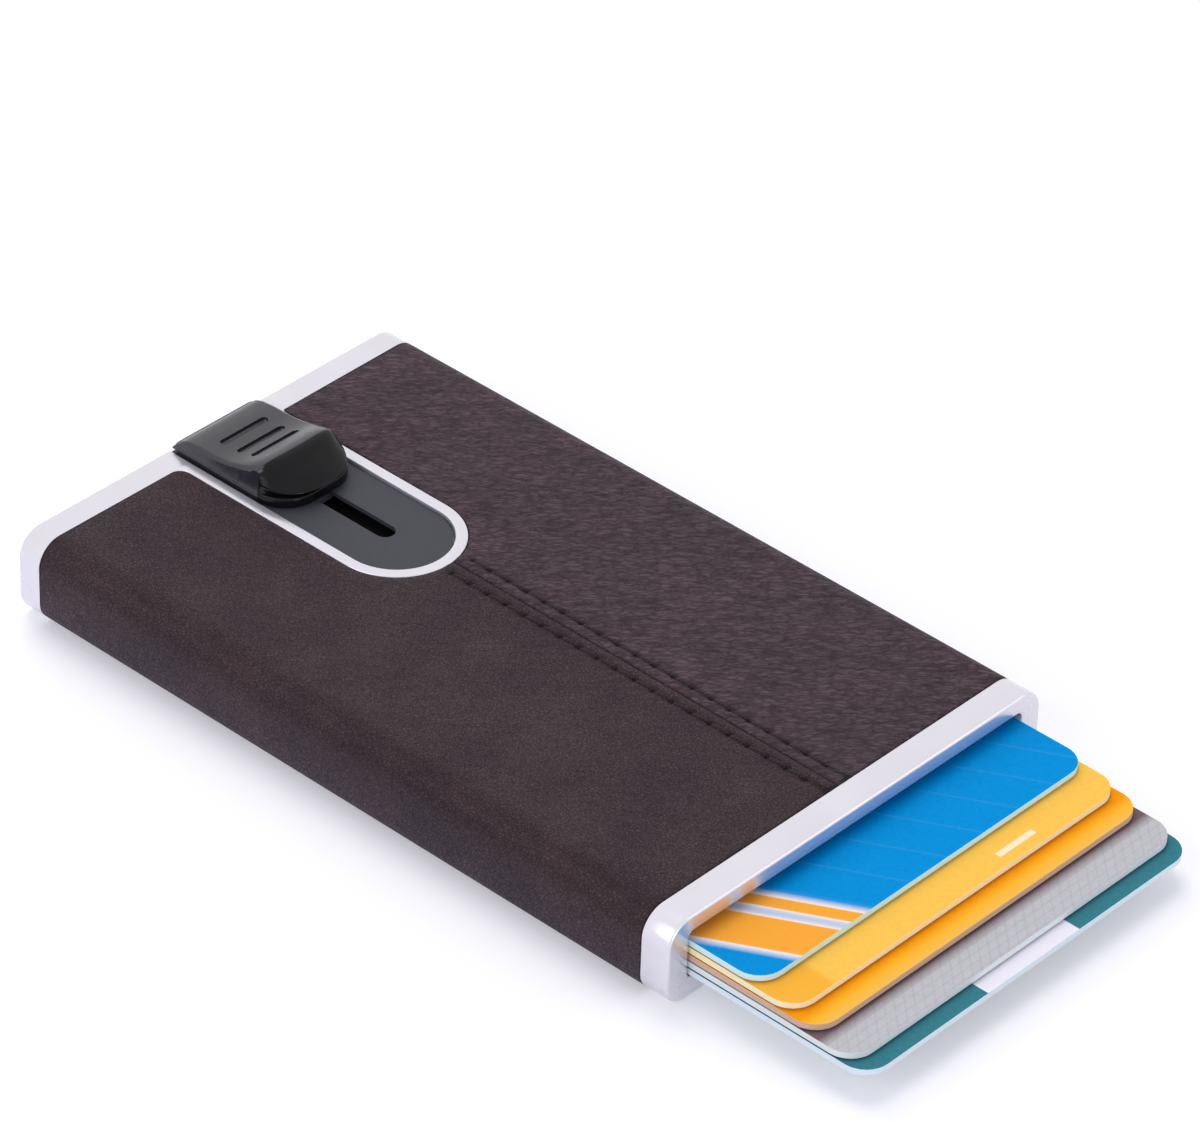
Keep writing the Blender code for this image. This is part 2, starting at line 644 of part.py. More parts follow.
def make_ejector_arm(parts, cutters, slider):
    """The steel arm over the cards: a tongue that closes the slot from below, bent down behind the block."""
    tip = STEM_FRONT - ARM_LEAD
    floor = POCKET_FLOOR + SLIDE_GAP
    start = tip - CUT_OVERRUN
    bend = [(start, ARM_BOTTOM), (start, ARM_TOP), (FLANGE_REAR, ARM_TOP), (FLANGE_REAR, floor)]
    bend += [(FLANGE_FRONT, floor), (FLANGE_FRONT, ARM_BOTTOM)]
    arm = outline_piece("ejector_arm", [bend], -EJECTOR_HALF_WIDTH, EJECTOR_HALF_WIDTH, "X", parts)
    shoulder = FLANGE_REAR - ARM_SHOULDER_DEPTH
    wide = EJECTOR_HALF_WIDTH + CUT_OVERRUN
    rear = FLANGE_REAR + CUT_OVERRUN
    radius = ARM_SHOULDER_RADIUS
    corner = ARM_TIP_RADIUS
    edge = arc((corner - ARM_HALF_WIDTH, tip + corner), corner, 180, 270, SMALL_ARC_STEPS)
    edge += arc((ARM_HALF_WIDTH - corner, tip + corner), corner, 270, 360, SMALL_ARC_STEPS)
    edge += arc((ARM_HALF_WIDTH + radius, shoulder - radius), radius, 180, 90, SMALL_ARC_STEPS)
    edge += [(wide, shoulder), (wide, rear), (-wide, rear), (-wide, shoulder)]
    edge += arc((-ARM_HALF_WIDTH - radius, shoulder - radius), radius, 90, 0, SMALL_ARC_STEPS)
    socket = slot_outline(STEM_HALF_WIDTH + FIT_GAP, STEM_FRONT - FIT_GAP, STEM_REAR + FIT_GAP)
    low = floor - CUT_OVERRUN
    guide = outline_piece("arm_plan_guide", [edge, socket], low, ARM_TOP + CUT_OVERRUN, "Z", cutters)
    combine(arm, guide, "INTERSECT")
    return finish_piece(arm, BLACKENED_STEEL, slider)


def make_stepped_ejector(parts, slider):
    """The stair that pushes the cards. Each step stands further forward than the one above it."""
    floor = POCKET_FLOOR + SLIDE_GAP
    card_space = CARD_PITCH - CARD_THICKNESS
    stair = [(STAIR_REAR, floor), (STAIR_FRONT, floor)]
    for step in range(1, CARD_COUNT):
        height = STACK_BOTTOM + step * CARD_PITCH - card_space / 2
        stair.append((STAIR_FRONT + (step - 1) * STEP_DEPTH, height))
        stair.append((STAIR_FRONT + step * STEP_DEPTH, height))
    top = ARM_BOTTOM - FIT_GAP
    stair += [(STAIR_FRONT + (CARD_COUNT - 1) * STEP_DEPTH, top), (STAIR_REAR, top)]
    ejector = outline_piece(
        "stepped_ejector", [stair], -EJECTOR_HALF_WIDTH, EJECTOR_HALF_WIDTH, "X", parts
    )
    return finish_piece(ejector, GREY_PLASTIC, slider)


def make_arm_pins(parts, cutters, slider, arm, ejector):
    """Two drive pins that hold the stepped block to the arm's flange, each in a hole through both."""
    height = STACK_BOTTOM + STACK_HEIGHT / 2
    for name, x in (("arm_pin_left", -PIN_SIDE_PLACE), ("arm_pin_right", PIN_SIDE_PLACE)):
        front = STAIR_REAR - PIN_DEPTH
        pin = rod_piece(name, PIN_RADIUS, (x, front, height), (x, FLANGE_REAR, height), parts)
        hole = rod_piece(
            name + "_hole_cut",
            PIN_RADIUS + FIT_GAP,
            (x, front - FIT_GAP, height),
            (x, FLANGE_REAR + CUT_OVERRUN, height),
            cutters,
        )
        combine(arm, hole, "DIFFERENCE")
        combine(ejector, hole, "DIFFERENCE")
        finish_piece(pin, PIN_STEEL, slider)


def make_felt_strips(parts, case):
    """A felt strip on the pocket's floor and one on its roof, just behind the mouth."""
    half_width = POCKET_HALF_WIDTH - FIT_GAP
    front = FRONT_BAND_END + FELT_SETBACK
    lower = POCKET_FLOOR + FIT_GAP
    upper = POCKET_ROOF - FIT_GAP - FELT_THICKNESS
    for name, low in (("felt_strip_lower", lower), ("felt_strip_upper", upper)):
        strip = box_piece(
            name,
            (-half_width, front, low),
            (half_width, front + FELT_DEPTH, low + FELT_THICKNESS),
            parts,
        )
        finish_piece(strip, DARK_FELT, case)


def make_card(parts, case, number, shows, finish):
    """A bank card that stands out of the mouth, with its carrier on the line that it slides along."""
    top = STACK_TOP - (number - 1) * CARD_PITCH
    centre = Vector((0.0, MOUTH_Y - shows + CARD_LENGTH / 2, top - CARD_THICKNESS / 2))
    slide = new_carrier(f"card_{number}_slide", centre, parts, case)
    edge = rounded_box(
        CARD_WIDTH / 2,
        centre.y - CARD_LENGTH / 2,
        centre.y + CARD_LENGTH / 2,
        CARD_CORNER_RADIUS,
        CARD_CORNER_RADIUS,
    )
    card = outline_piece(f"card_{number}", [edge], top - CARD_THICKNESS, top, "Z", parts)
    return finish_piece(card, finish, slide)


def main():
    clear_scene()
    parts = new_collection("pop_up_card_holder")
    cutters = new_collection("cutters")
    case = new_carrier("case_datum", (0.0, 0.0, 0.0), parts)
    slider_place = (0.0, (SLIDER_FRONT + SLIDER_REAR) / 2, SLIDER_BOTTOM)
    slider = new_carrier("slider_slide", slider_place, parts, case)
    make_inner_sleeve(parts, cutters, case)
    make_leather_wrap(parts, cutters, case)
    make_front_frame(parts, cutters, case)
    make_rear_frame(parts, cutters, case)
    make_track_plate(parts, case)
    make_slider_button(parts, cutters, slider)
    make_guide_shoe(parts, slider)
    arm = make_ejector_arm(parts, cutters, slider)
    ejector = make_stepped_ejector(parts, slider)
    make_arm_pins(parts, cutters, slider, arm, ejector)
    make_felt_strips(parts, case)
    make_card(parts, case, 1, CARD_1_SHOWS, BLUE_CARD)
    make_card(parts, case, 2, CARD_2_SHOWS, AMBER_CARD)
    make_card(parts, case, 3, CARD_3_SHOWS, ORANGE_CARD)
    make_card(parts, case, 4, CARD_4_SHOWS, GREY_CARD)
    make_card(parts, case, 5, CARD_5_SHOWS, TEAL_CARD)


main()
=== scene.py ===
# %% [markdown]
# # Pop up card holder
# A flat case of aluminium wrapped in leather, with satin metal frames at both ends. A thumb slider on top
# pushes a stepped block inside, and the block pushes five bank cards out of the mouth like a fan. The
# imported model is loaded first. Its hard parts keep their shape and get their finish here, and the leather,
# its stitches and the slider's finer form are modelled around it.

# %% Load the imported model
import json
import math

import bmesh
import bpy
from mathutils import Matrix, Vector

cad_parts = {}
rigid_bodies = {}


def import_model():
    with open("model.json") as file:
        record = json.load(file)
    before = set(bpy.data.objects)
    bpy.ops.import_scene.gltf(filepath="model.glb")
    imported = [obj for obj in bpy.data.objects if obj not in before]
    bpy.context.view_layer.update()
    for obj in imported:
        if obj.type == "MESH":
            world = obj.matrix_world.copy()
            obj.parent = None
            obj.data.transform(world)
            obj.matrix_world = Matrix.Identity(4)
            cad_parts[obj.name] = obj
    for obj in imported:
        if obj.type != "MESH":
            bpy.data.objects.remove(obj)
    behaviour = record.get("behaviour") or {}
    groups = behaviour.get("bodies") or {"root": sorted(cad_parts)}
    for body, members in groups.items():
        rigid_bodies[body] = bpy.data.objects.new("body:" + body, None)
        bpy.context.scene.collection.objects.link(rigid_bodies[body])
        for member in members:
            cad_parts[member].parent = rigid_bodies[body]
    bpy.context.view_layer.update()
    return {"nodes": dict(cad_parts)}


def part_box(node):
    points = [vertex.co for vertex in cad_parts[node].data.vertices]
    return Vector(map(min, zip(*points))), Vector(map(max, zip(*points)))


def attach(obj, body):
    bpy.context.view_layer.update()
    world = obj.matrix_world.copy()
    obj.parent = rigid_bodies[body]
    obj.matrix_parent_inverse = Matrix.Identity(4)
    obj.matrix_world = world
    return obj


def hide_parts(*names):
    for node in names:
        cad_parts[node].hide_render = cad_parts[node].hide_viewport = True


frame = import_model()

# %% [markdown]
# ## Camera
# The photo was taken from the front left, 36 degrees above the table, with a long lens. A long lens keeps
# the far end of the case nearly as wide as the near end. The camera's three axes are given as a matrix,
# because that holds the small roll of the photo as well.

# %% Camera
FOCAL_LENGTH_MM = 198.0
CAMERA_PLACE = (-0.43609, -0.40157, 0.44932)
CAMERA_RIGHT = (0.6819, -0.7309, 0.0282)
CAMERA_UP = (0.4149, 0.4183, 0.8080)
CAMERA_BACK = (-0.6024, -0.5393, 0.5885)

camera = bpy.data.objects.new("photo_camera", bpy.data.cameras.new("photo_camera"))
bpy.context.scene.collection.objects.link(camera)
camera.data.lens = FOCAL_LENGTH_MM
camera.data.clip_start = 0.01
turn = Matrix((CAMERA_RIGHT, CAMERA_UP, CAMERA_BACK)).transposed()
camera.matrix_world = Matrix.Translation(CAMERA_PLACE) @ turn.to_4x4()
bpy.context.scene.camera = camera
bpy.context.scene.view_settings.view_transform = "Standard"
print("camera at", [round(c, 3) for c in camera.location])

# %% [markdown]
# ## Helpers for materials
# Colours are written as the hex values that a painter or a screen shows. The shader works in linear light,
# so one function turns them. One more function adds a node with its settings, and it leaves the values and
# links of the node's inputs to a small one that the shader uses too.

# %% Colour and node helpers
def linear(hex_colour, alpha=1.0):
    """Turns a hex colour as the eye sees it into the linear values of the shader."""
    channels = [int(hex_colour[i:i + 2], 16) / 255 for i in (1, 3, 5)]
    return (*(c / 12.92 if c <= 0.04045 else ((c + 0.055) / 1.055) ** 2.4 for c in channels), alpha)


def feed(tree, node, inputs):
    """Gives a node its inputs: values, outputs of other nodes, or whole nodes for their first output."""
    for name, value in inputs.items():
        if isinstance(value, bpy.types.Node):
            value = value.outputs[0]
        if isinstance(value, bpy.types.NodeSocket):
            tree.links.new(value, node.inputs[name])
        else:
            node.inputs[name].default_value = value


def add_node(tree, kind, inputs=None, **settings):
    """Adds a node with its settings, and feeds its inputs, which go by name or by number."""
    made = tree.nodes.new(kind)
    for name, value in settings.items():
        setattr(made, name, value)
    feed(tree, made, inputs or {})
    return made


def set_tones(ramp, low_hex, high_hex, start=0.0, end=1.0):
    """Gives the two stops of a colour ramp their colours and places."""
    for stop, place, tone_hex in zip(ramp.color_ramp.elements, (start, end), (low_hex, high_hex)):
        stop.position = place
        stop.color = linear(tone_hex)


def new_finish(name, **constants):
    """A material with its shader, whose constant values are set on the shader itself."""
    material = bpy.data.materials.new(name)
    material.use_nodes = True
    shader = material.node_tree.nodes["Principled BSDF"]
    for socket, value in constants.items():
        shader.inputs[socket.replace("_", " ")].default_value = value
    return material, material.node_tree, shader


def new_mottled(name, scale, low_hex, high_hex, detail=2.0, stretch=None, start=0.0, end=1.0, **constants):
    """A material whose colour wanders between two tones, its tree, its shader, and the noise it follows."""
    material, tree, shader = new_finish(name, **constants)
    place = add_node(tree, "ShaderNodeTexCoord").outputs["Object"]
    if stretch:
        place = add_node(tree, "ShaderNodeMapping", {"Vector": place, "Scale": stretch})
    noise = add_node(tree, "ShaderNodeTexNoise", {"Vector": place, "Scale": scale, "Detail": detail})
    tone = add_node(tree, "ShaderNodeValToRGB", {"Fac": noise})
    set_tones(tone, low_hex, high_hex, start, end)
    feed(tree, shader, {"Base Color": tone})
    return material, tree, shader, noise


def dress(node_name, material):
    """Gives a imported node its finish."""
    node = frame["nodes"][node_name]
    node.data.materials.clear()
    node.data.materials.append(material)


print("white is", linear("#ffffff")[:3], "and mid grey", round(linear("#808080")[0], 3))

# %% [markdown]
# ## Floor, world and lamps
# The case lies on a white sweep, as in a catalogue photo. One soft lamp hangs above it and one stands low
# behind it, so the shadows fall softly towards the camera. Three weaker ones fill in the left, the front
# and the front right, and draw bright lines along the rims. The rest of the room is a pale lilac, and it
# gives the shadows their tint.

# %% Floor
FLOOR_SIZE = 6.0
FLOOR_GLOW = 0.30
FLOOR_LEVEL = -0.00005

bpy.ops.mesh.primitive_plane_add(size=FLOOR_SIZE, location=(0, 0, FLOOR_LEVEL))
floor = bpy.context.object
floor.name = "floor"
sweep, tree, shader = new_finish("White paper sweep", Roughness=0.9, Specular_IOR_Level=0.0)
shader.inputs["Base Color"].default_value = linear("#e1e3e4")
path = add_node(tree, "ShaderNodeLightPath")
seen = add_node(
    tree, "ShaderNodeMath", {0: path.outputs["Is Camera Ray"], 1: path.outputs["Is Glossy Ray"]},
    operation="MAXIMUM"
)
glow = add_node(tree, "ShaderNodeMath", {0: seen, 1: FLOOR_GLOW}, operation="MULTIPLY")
shader.inputs["Emission Color"].default_value = (1, 1, 1, 1)
feed(tree, shader, {"Emission Strength": glow})
floor.data.materials.append(sweep)

# %% World
ROOM_LIGHT = 0.55

world = bpy.context.scene.world or bpy.data.worlds.new("room")
bpy.context.scene.world = world
world.use_nodes = True
tree = world.node_tree
tree.nodes.clear()
path = add_node(tree, "ShaderNodeLightPath")
room = add_node(tree, "ShaderNodeBackground", {"Color": linear("#eeeaff"), "Strength": ROOM_LIGHT})
backdrop = add_node(tree, "ShaderNodeBackground", {"Color": (1, 1, 1, 1), "Strength": 1.0})
seen = add_node(
    tree, "ShaderNodeMath", {0: path.outputs["Is Camera Ray"], 1: path.outputs["Is Glossy Ray"]},
    operation="MAXIMUM"
)
shown = add_node(tree, "ShaderNodeMixShader", {0: seen, 1: room, 2: backdrop})
add_node(tree, "ShaderNodeOutputWorld", {"Surface": shown})

# %% Lamps
def add_softbox(name, place, size, power, tint="#ffffff", mirrored=True):
    """A square soft lamp that looks at the case. One that isn't mirrored leaves no glare on the metal."""
    lamp = bpy.data.objects.new(name, bpy.data.lights.new(name, "AREA"))
    bpy.context.scene.collection.objects.link(lamp)
    lamp.data.size = size
    lamp.data.energy = power
    lamp.data.color = linear(tint)[:3]
    lamp.visible_glossy = mirrored
    lamp.location = place
    lamp.rotation_euler = (-Vector(place)).to_track_quat("-Z", "Y").to_euler()
    return lamp


add_softbox("top_softbox", (0.22, 0.34, 1.22), 0.7, 5.3, "#fffcf6", mirrored=False)
add_softbox("rear_softbox", (0.35, 1.0, 0.75), 0.9, 4.2, "#fffaf2", mirrored=False)
add_softbox("side_softbox", (-0.95, 0.15, 0.55), 0.8, 3.6, "#f3f0ff")
add_softbox("front_softbox", (-0.25, -1.2, 0.15), 0.3, 2.3)
add_softbox("right_softbox", (0.80, -0.78, 0.72), 0.5, 0.7)

# %% [markdown]
# ## Helpers for modelling
# The pieces below are shaped in edit mode, as by hand. Operators work on what is selected, so one helper
# takes a piece into edit mode with nothing selected, and one selects faces, edges or points by where they
# are.

# %% Modelling helpers
def select_only(piece):
    """Makes a piece the only one that operators act on."""
    bpy.ops.object.select_all(action="DESELECT")
    piece.select_set(True)
    bpy.context.view_layer.objects.active = piece


def take(piece):
    """Opens a piece in edit mode with nothing selected."""
    select_only(piece)
    bpy.ops.object.mode_set(mode="EDIT")
    bpy.ops.mesh.select_all(action="DESELECT")


def leave():
    """Back to object mode."""
    bpy.ops.object.mode_set(mode="OBJECT")


def pick(kind, wanted):
    """Selects only the points, edges or faces for which wanted(middle, item) is true, and counts them."""
    bpy.ops.mesh.select_all(action="DESELECT")
    bpy.ops.mesh.select_mode(type=kind)
    mesh = bmesh.from_edit_mesh(bpy.context.edit_object.data)
    mesh.normal_update()
    items = {"VERT": mesh.verts, "EDGE": mesh.edges, "FACE": mesh.faces}[kind]
    middles = {
        "VERT": lambda item: item.co,
        "EDGE": lambda item: (item.verts[0].co + item.verts[1].co) / 2,
        "FACE": lambda item: item.calc_center_median(),
    }
    found = [item for item in items if wanted(middles[kind](item), item)]
    for item in found:
        item.select_set(True)
    bmesh.update_edit_mesh(bpy.context.edit_object.data)
    return len(found)


def round_edges(width, segments):
    """Bevels the selected edges round."""
    bpy.ops.mesh.bevel(offset=width, segments=segments, profile=0.5, affect="EDGES")


def add_box(name, low, high):
    """A box between two corners, with its place and size in its mesh."""
    bpy.ops.object.select_all(action="DESELECT")
    low, high = Vector(low), Vector(high)
    bpy.ops.mesh.primitive_cube_add(size=1.0, location=(low + high) / 2, scale=high - low)
    bpy.ops.object.transform_apply(location=True, rotation=True, scale=True)
    bpy.context.object.name = name
    return bpy.context.object


def apply_modifier(piece, kind, **settings):
    """Adds one modifier and applies it."""
    select_only(piece)
    modifier = piece.modifiers.new(kind.lower(), kind)
    for name, value in settings.items():
        setattr(modifier, name, value)
    bpy.ops.object.modifier_apply(modifier=modifier.name)


def cut_away(piece, cutter):
    """Cuts one closed piece out of another, and removes the cutter."""
    apply_modifier(piece, "BOOLEAN", operation="DIFFERENCE", solver="EXACT", object=cutter)
    bpy.data.objects.remove(cutter, do_unlink=True)


def join_to(piece, addition):
    """Joins one closed piece to another, so that they share one skin."""
    apply_modifier(piece, "BOOLEAN", operation="UNION", solver="EXACT", object=addition)
    bpy.data.objects.remove(addition, do_unlink=True)


def smooth(piece, degrees):
    """Smooth shading, except across edges sharper than the angle."""
    select_only(piece)
    bpy.ops.object.shade_smooth_by_angle(angle=math.radians(degrees))


print(
    "helpers: select_only, take, leave, pick, round_edges, add_box, apply_modifier, cut_away, join_to, smooth"
)

# %% [markdown]
# ## Frames
# The two end frames are cast aluminium. Each could be extruded from the case's outline, drawn as a curve,
# but a box whose long edges are bevelled to the case's radii is as exact and leaves clean faces. The packed
# frames have the same shape with coarser corners and sharp rims, so these finer ones replace them.

# %% Case block
TOP_EDGE_RADIUS = 0.0032
BOTTOM_EDGE_RADIUS = 0.0030
HIDE_THICKNESS = 0.0010
OVERRUN = 0.0010

band_low, band_high = (Vector(corner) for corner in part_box("front_frame"))
rear_high = Vector(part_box("rear_frame")[1])
REAR_BAND_LENGTH = 0.0034
rear_band_front = rear_high.y - REAR_BAND_LENGTH


def runs_along(edge, axis, least=0.0005):
    """True for an edge that runs along an axis and is longer than the given length."""
    way = edge.verts[0].co - edge.verts[1].co
    return abs(way[axis]) > least and abs(way[axis]) > 0.99 * way.length


def add_case_block(name, front, rear, inset=0.0):
    """A length of the case's cross-section, moved in by inset: a box with its four long edges rounded."""
    half, height = band_high.x - inset, band_high.z
    block = add_box(name, (-half, front, inset), (half, rear, height - inset))
    take(block)
    pick("EDGE", lambda middle, edge: runs_along(edge, 1) and middle.z > height / 2)
    round_edges(TOP_EDGE_RADIUS - inset, 14)
    pick("EDGE", lambda middle, edge: runs_along(edge, 1) and middle.z < inset + 0.00001)
    round_edges(BOTTOM_EDGE_RADIUS - inset, 12)
    leave()
    return block


def soften_end(block, y, width):
    """Rounds the whole outline of the end face at y."""
    take(block)
    pick("FACE", lambda middle, face: abs(middle.y - y) < 0.00001 and abs(face.normal.y) > 0.99)
    bpy.ops.mesh.region_to_loop()
    round_edges(width, 4)
    leave()


def is_outer(middle, edge):
    """True where an edge lies on the outside of the case: one of its faces looks away from the middle."""
    out = Vector((middle.x, 0, middle.z - band_high.z / 2))
    return any(abs(face.normal.y) < 0.5 and face.normal.dot(out) > 0 for face in edge.link_faces)


print(
    "band of", round((band_high.y - band_low.y) * 1000, 2), "mm, rear band from y",
    round(rear_band_front, 4)
)

# %% [markdown]
# The front frame is the mouth. Its letterbox is cut with a box whose corners are rounded, and a wider step
# behind it takes the end of the sleeve. The rims that a finger meets are rounded by a fifth of a
# millimetre.

# %% Front frame
MOUTH_HALF_WIDTH = 0.02725
MOUTH_LOW, MOUTH_HIGH = 0.0027, 0.0089
MOUTH_CORNER_RADIUS = 0.0008
END_SOFTENING = 0.00040
MOUTH_SOFTENING = 0.00022
BACK_SOFTENING = 0.00012
STEP_DEPTH = 0.0020

front_frame = add_case_block("mouth_frame", band_low.y, band_high.y)
soften_end(front_frame, band_low.y, END_SOFTENING)
mouth = add_box("mouth_cutter", (-MOUTH_HALF_WIDTH, band_low.y - OVERRUN, MOUTH_LOW),
                (MOUTH_HALF_WIDTH, band_high.y + OVERRUN, MOUTH_HIGH))
take(mouth)
pick("EDGE", lambda middle, edge: runs_along(edge, 1))
round_edges(MOUTH_CORNER_RADIUS, 6)
leave()
cut_away(front_frame, mouth)
cut_away(
    front_frame,
    add_case_block("step_cutter", band_high.y - STEP_DEPTH, band_high.y + OVERRUN, HIDE_THICKNESS)
)
take(front_frame)
rim = pick("EDGE", lambda middle, edge: abs(middle.y - band_low.y) < 0.00001 and len(edge.link_faces) == 2
           and edge.calc_face_angle(0) > 1.0)
round_edges(MOUTH_SOFTENING, 4)
back = pick("EDGE", lambda middle, edge: abs(middle.y - band_high.y) < 0.00001 and len(edge.link_faces) == 2
            and edge.calc_face_angle(0) > 1.0 and is_outer(middle, edge))
round_edges(BACK_SOFTENING, 3)
leave()
smooth(front_frame, 32)
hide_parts("front_frame")
print("front frame: mouth rim", rim, "edges, back rim", back, "edges")

# %% [markdown]
# The rear frame closes the case, and its border runs forward over the sleeve as a U round the slider's
# track. The border starts as a box with its front corners bevelled by half its width, and so does the
# cutter for the channel. Where border and band meet, the inner corners get fillets, a larger one on the
# left.

# %% Rear frame
BORDER_HALF_WIDTH = 0.0082
CHANNEL_HALF_WIDTH = 0.00675
BORDER_LOW = 0.0100
BORDER_OVERLAP = 0.0005
CHANNEL_LOW, CHANNEL_HIGH = 0.0097, 0.0120
TRACK_CENTRE_Y = 0.0200
REAR_WALL = 0.0014
FILLETS = ((-BORDER_HALF_WIDTH, 0.0015), (BORDER_HALF_WIDTH, 0.0006))
BORDER_SOFTENING = 0.00014


def add_tongue(name, half_width, rear, low, high):
    """A bar along Y whose front end is a half circle round the track's centre."""
    bar = add_box(name, (-half_width, TRACK_CENTRE_Y - half_width, low), (half_width, rear, high))
    take(bar)
    pick("EDGE", lambda middle, edge: runs_along(edge, 2) and middle.y < TRACK_CENTRE_Y)
    round_edges(half_width - 0.000001, 30)
    leave()
    return bar


rear_frame = add_case_block("closed_frame", rear_band_front, rear_high.y)
soften_end(rear_frame, rear_high.y, END_SOFTENING)
cut_away(
    rear_frame,
    add_case_block("sleeve_cutter", rear_band_front - OVERRUN, rear_high.y - REAR_WALL, HIDE_THICKNESS)
)
border_rear = rear_band_front + BORDER_OVERLAP
join_to(rear_frame, add_tongue("border", BORDER_HALF_WIDTH, border_rear, BORDER_LOW, rear_high.z))
take(rear_frame)
for x, radius in FILLETS:
    corner = Vector((x, rear_band_front, (BORDER_LOW + rear_high.z) / 2))
    found = pick("EDGE", lambda middle, edge: (middle - corner).length < 0.0002 and runs_along(edge, 2))
    round_edges(radius, 8)
    print("fillet of", radius * 1000, "mm on", found, "edge")
leave()
channel_rear = rear_high.y + OVERRUN
cut_away(
    rear_frame, add_tongue("channel_cutter", CHANNEL_HALF_WIDTH, channel_rear, CHANNEL_LOW, CHANNEL_HIGH)
)
take(rear_frame)
rim = pick("EDGE", lambda middle, edge: abs(middle.z - rear_high.z) < 0.00001 and len(edge.link_faces) == 2
           and edge.calc_face_angle(0) > 1.0)
round_edges(BORDER_SOFTENING, 3)
leave()
smooth(rear_frame, 32)
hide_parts("rear_frame")
print("rear frame: border rim", rim, "edges")

# %% [markdown]
# The metal is bead blasted and anodised in its natural silver. Blasting leaves a very fine even tooth, so
# it looks nearly white and soft, with no lines. The real pits are about a tenth of a millimetre wide, too
# fine to show, so the tooth is drawn 0.3 mm wide.

# %% Satin aluminium
satin, tree, shader = new_finish("Bead blasted anodised aluminium", Metallic=0.72)
place = add_node(tree, "ShaderNodeTexCoord")
blasting = add_node(
    tree, "ShaderNodeTexNoise", {"Vector": place.outputs["Object"], "Scale": 3200.0, "Detail": 2.0}
)
clouding = add_node(
    tree, "ShaderNodeTexNoise", {"Vector": place.outputs["Object"], "Scale": 140.0, "Detail": 3.0}
)
silver = add_node(tree, "ShaderNodeValToRGB", {"Fac": clouding})
set_tones(silver, "#dcdae1", "#e6e4eb")
rough = add_node(tree, "ShaderNodeMapRange", {"Value": clouding, "To Min": 0.22, "To Max": 0.29})
tooth = add_node(tree, "ShaderNodeBump", {"Height": blasting, "Strength": 0.12, "Distance": 0.00002})
feed(tree, shader, {"Base Color": silver, "Roughness": rough, "Normal": tooth})
for piece in (front_frame, rear_frame):
    piece.data.materials.append(satin)
    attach(piece, "case")

# %% [markdown]
# Inside there are plainer finishes. Their colour wanders between two near tones with a noise, so one
# function makes them all. Where a real pattern is finer than 0.2 mm, it is drawn 0.25 to 0.4 mm wide, or it
# would not show.

# %% Inner metals and felt
# Pushed through a die, so fine dull lines run along it.
extruded = new_mottled("Extruded aluminium", 2500.0, "#a9a9ae", "#cfcfd4", stretch=(1.0, 0.02, 1.0),
                       Metallic=1.0, Roughness=0.42)[0]
dress("inner_sleeve", extruded)

# Rolled between polished rolls: bright, with faint lines.
steel = new_mottled("Cold rolled spring steel", 3000.0, "#8f9095", "#b9babf", stretch=(1.0, 0.03, 1.0),
                    Metallic=1.0, Roughness=0.3)[0]
for name in ("arm_pin_left", "arm_pin_right"):
    dress(name, steel)

# A phosphate bath leaves a crust of tiny crystals, which drinks the light.
blackened = new_mottled("Phosphated spring steel", 4000.0, "#070708", "#0f0f11", 3.0, Roughness=0.7,
                        Specular_IOR_Level=0.15)[0]
dress("ejector_arm", blackened)

# Moulded in a plain tool: smooth and waxy, with faint clouds 2.5 mm wide.
acetal = new_mottled("Moulded grey acetal", 400.0, "#56565a", "#606065", Roughness=0.45)[0]
for name in ("guide_shoe", "stepped_ejector"):
    dress(name, acetal)

# Wool pressed into a mat: dull and fuzzy, and its loose fibres catch the light at a low angle.
felt, tree, shader, fibres = new_mottled(
    "Pressed wool felt", 2600.0, "#232327", "#3b3b40", 4.0, Roughness=0.95, Sheen_Weight=0.3
)
nap = add_node(tree, "ShaderNodeBump", {"Height": fibres, "Strength": 0.6, "Distance": 0.0001})
feed(tree, shader, {"Normal": nap})
for name in ("felt_strip_lower", "felt_strip_upper"):
    dress(name, felt)

# %% [markdown]
# The plate under the slider is sprayed with lacquer, which dries with a faint orange peel 0.7 mm wide. The
# slider is ABS from one mould with two finishes. Spark erosion pits the part for the thumb, and the nose
# comes off polished steel, with faint smears in its gloss. Their colour is partly painted light and shade:
# the same plastic is a soft dark grey on the thumb part, painted as lit, and a deeper black on the nose and
# foot, painted as shaded.

# %% Lacquer and moulded plastics
slate, tree, shader, orange_peel = new_mottled(
    "Slate grey lacquered plate", 1500.0, "#3b3d41", "#424449", Roughness=0.5, Specular_IOR_Level=0.25
)
peel = add_node(tree, "ShaderNodeBump", {"Height": orange_peel, "Strength": 0.1, "Distance": 0.00005})
feed(tree, shader, {"Normal": peel})
dress("track_plate", slate)

# Painted light: the thumb part is a lighter grey than the plastic itself, as if lit.
abs_black, tree, shader, spark = new_mottled(
    "Spark eroded black ABS", 2600.0, "#212129", "#28282f", 3.0, start=0.3, end=0.7, Roughness=0.26,
    Specular_IOR_Level=0.64
)
texture = add_node(tree, "ShaderNodeBump", {"Height": spark, "Strength": 0.25, "Distance": 0.00005})
feed(tree, shader, {"Normal": texture})

# Painted shade: the nose and foot are a deeper black than the plastic itself, as if in shade.
abs_polished, tree, shader, smears = new_mottled(
    "Polished black ABS", 500.0, "#0c0c0e", "#161618", 3.0, Specular_IOR_Level=0.17
)
rough = add_node(tree, "ShaderNodeMapRange", {"Value": smears, "To Min": 0.14, "To Max": 0.24})
feed(tree, shader, {"Roughness": rough})
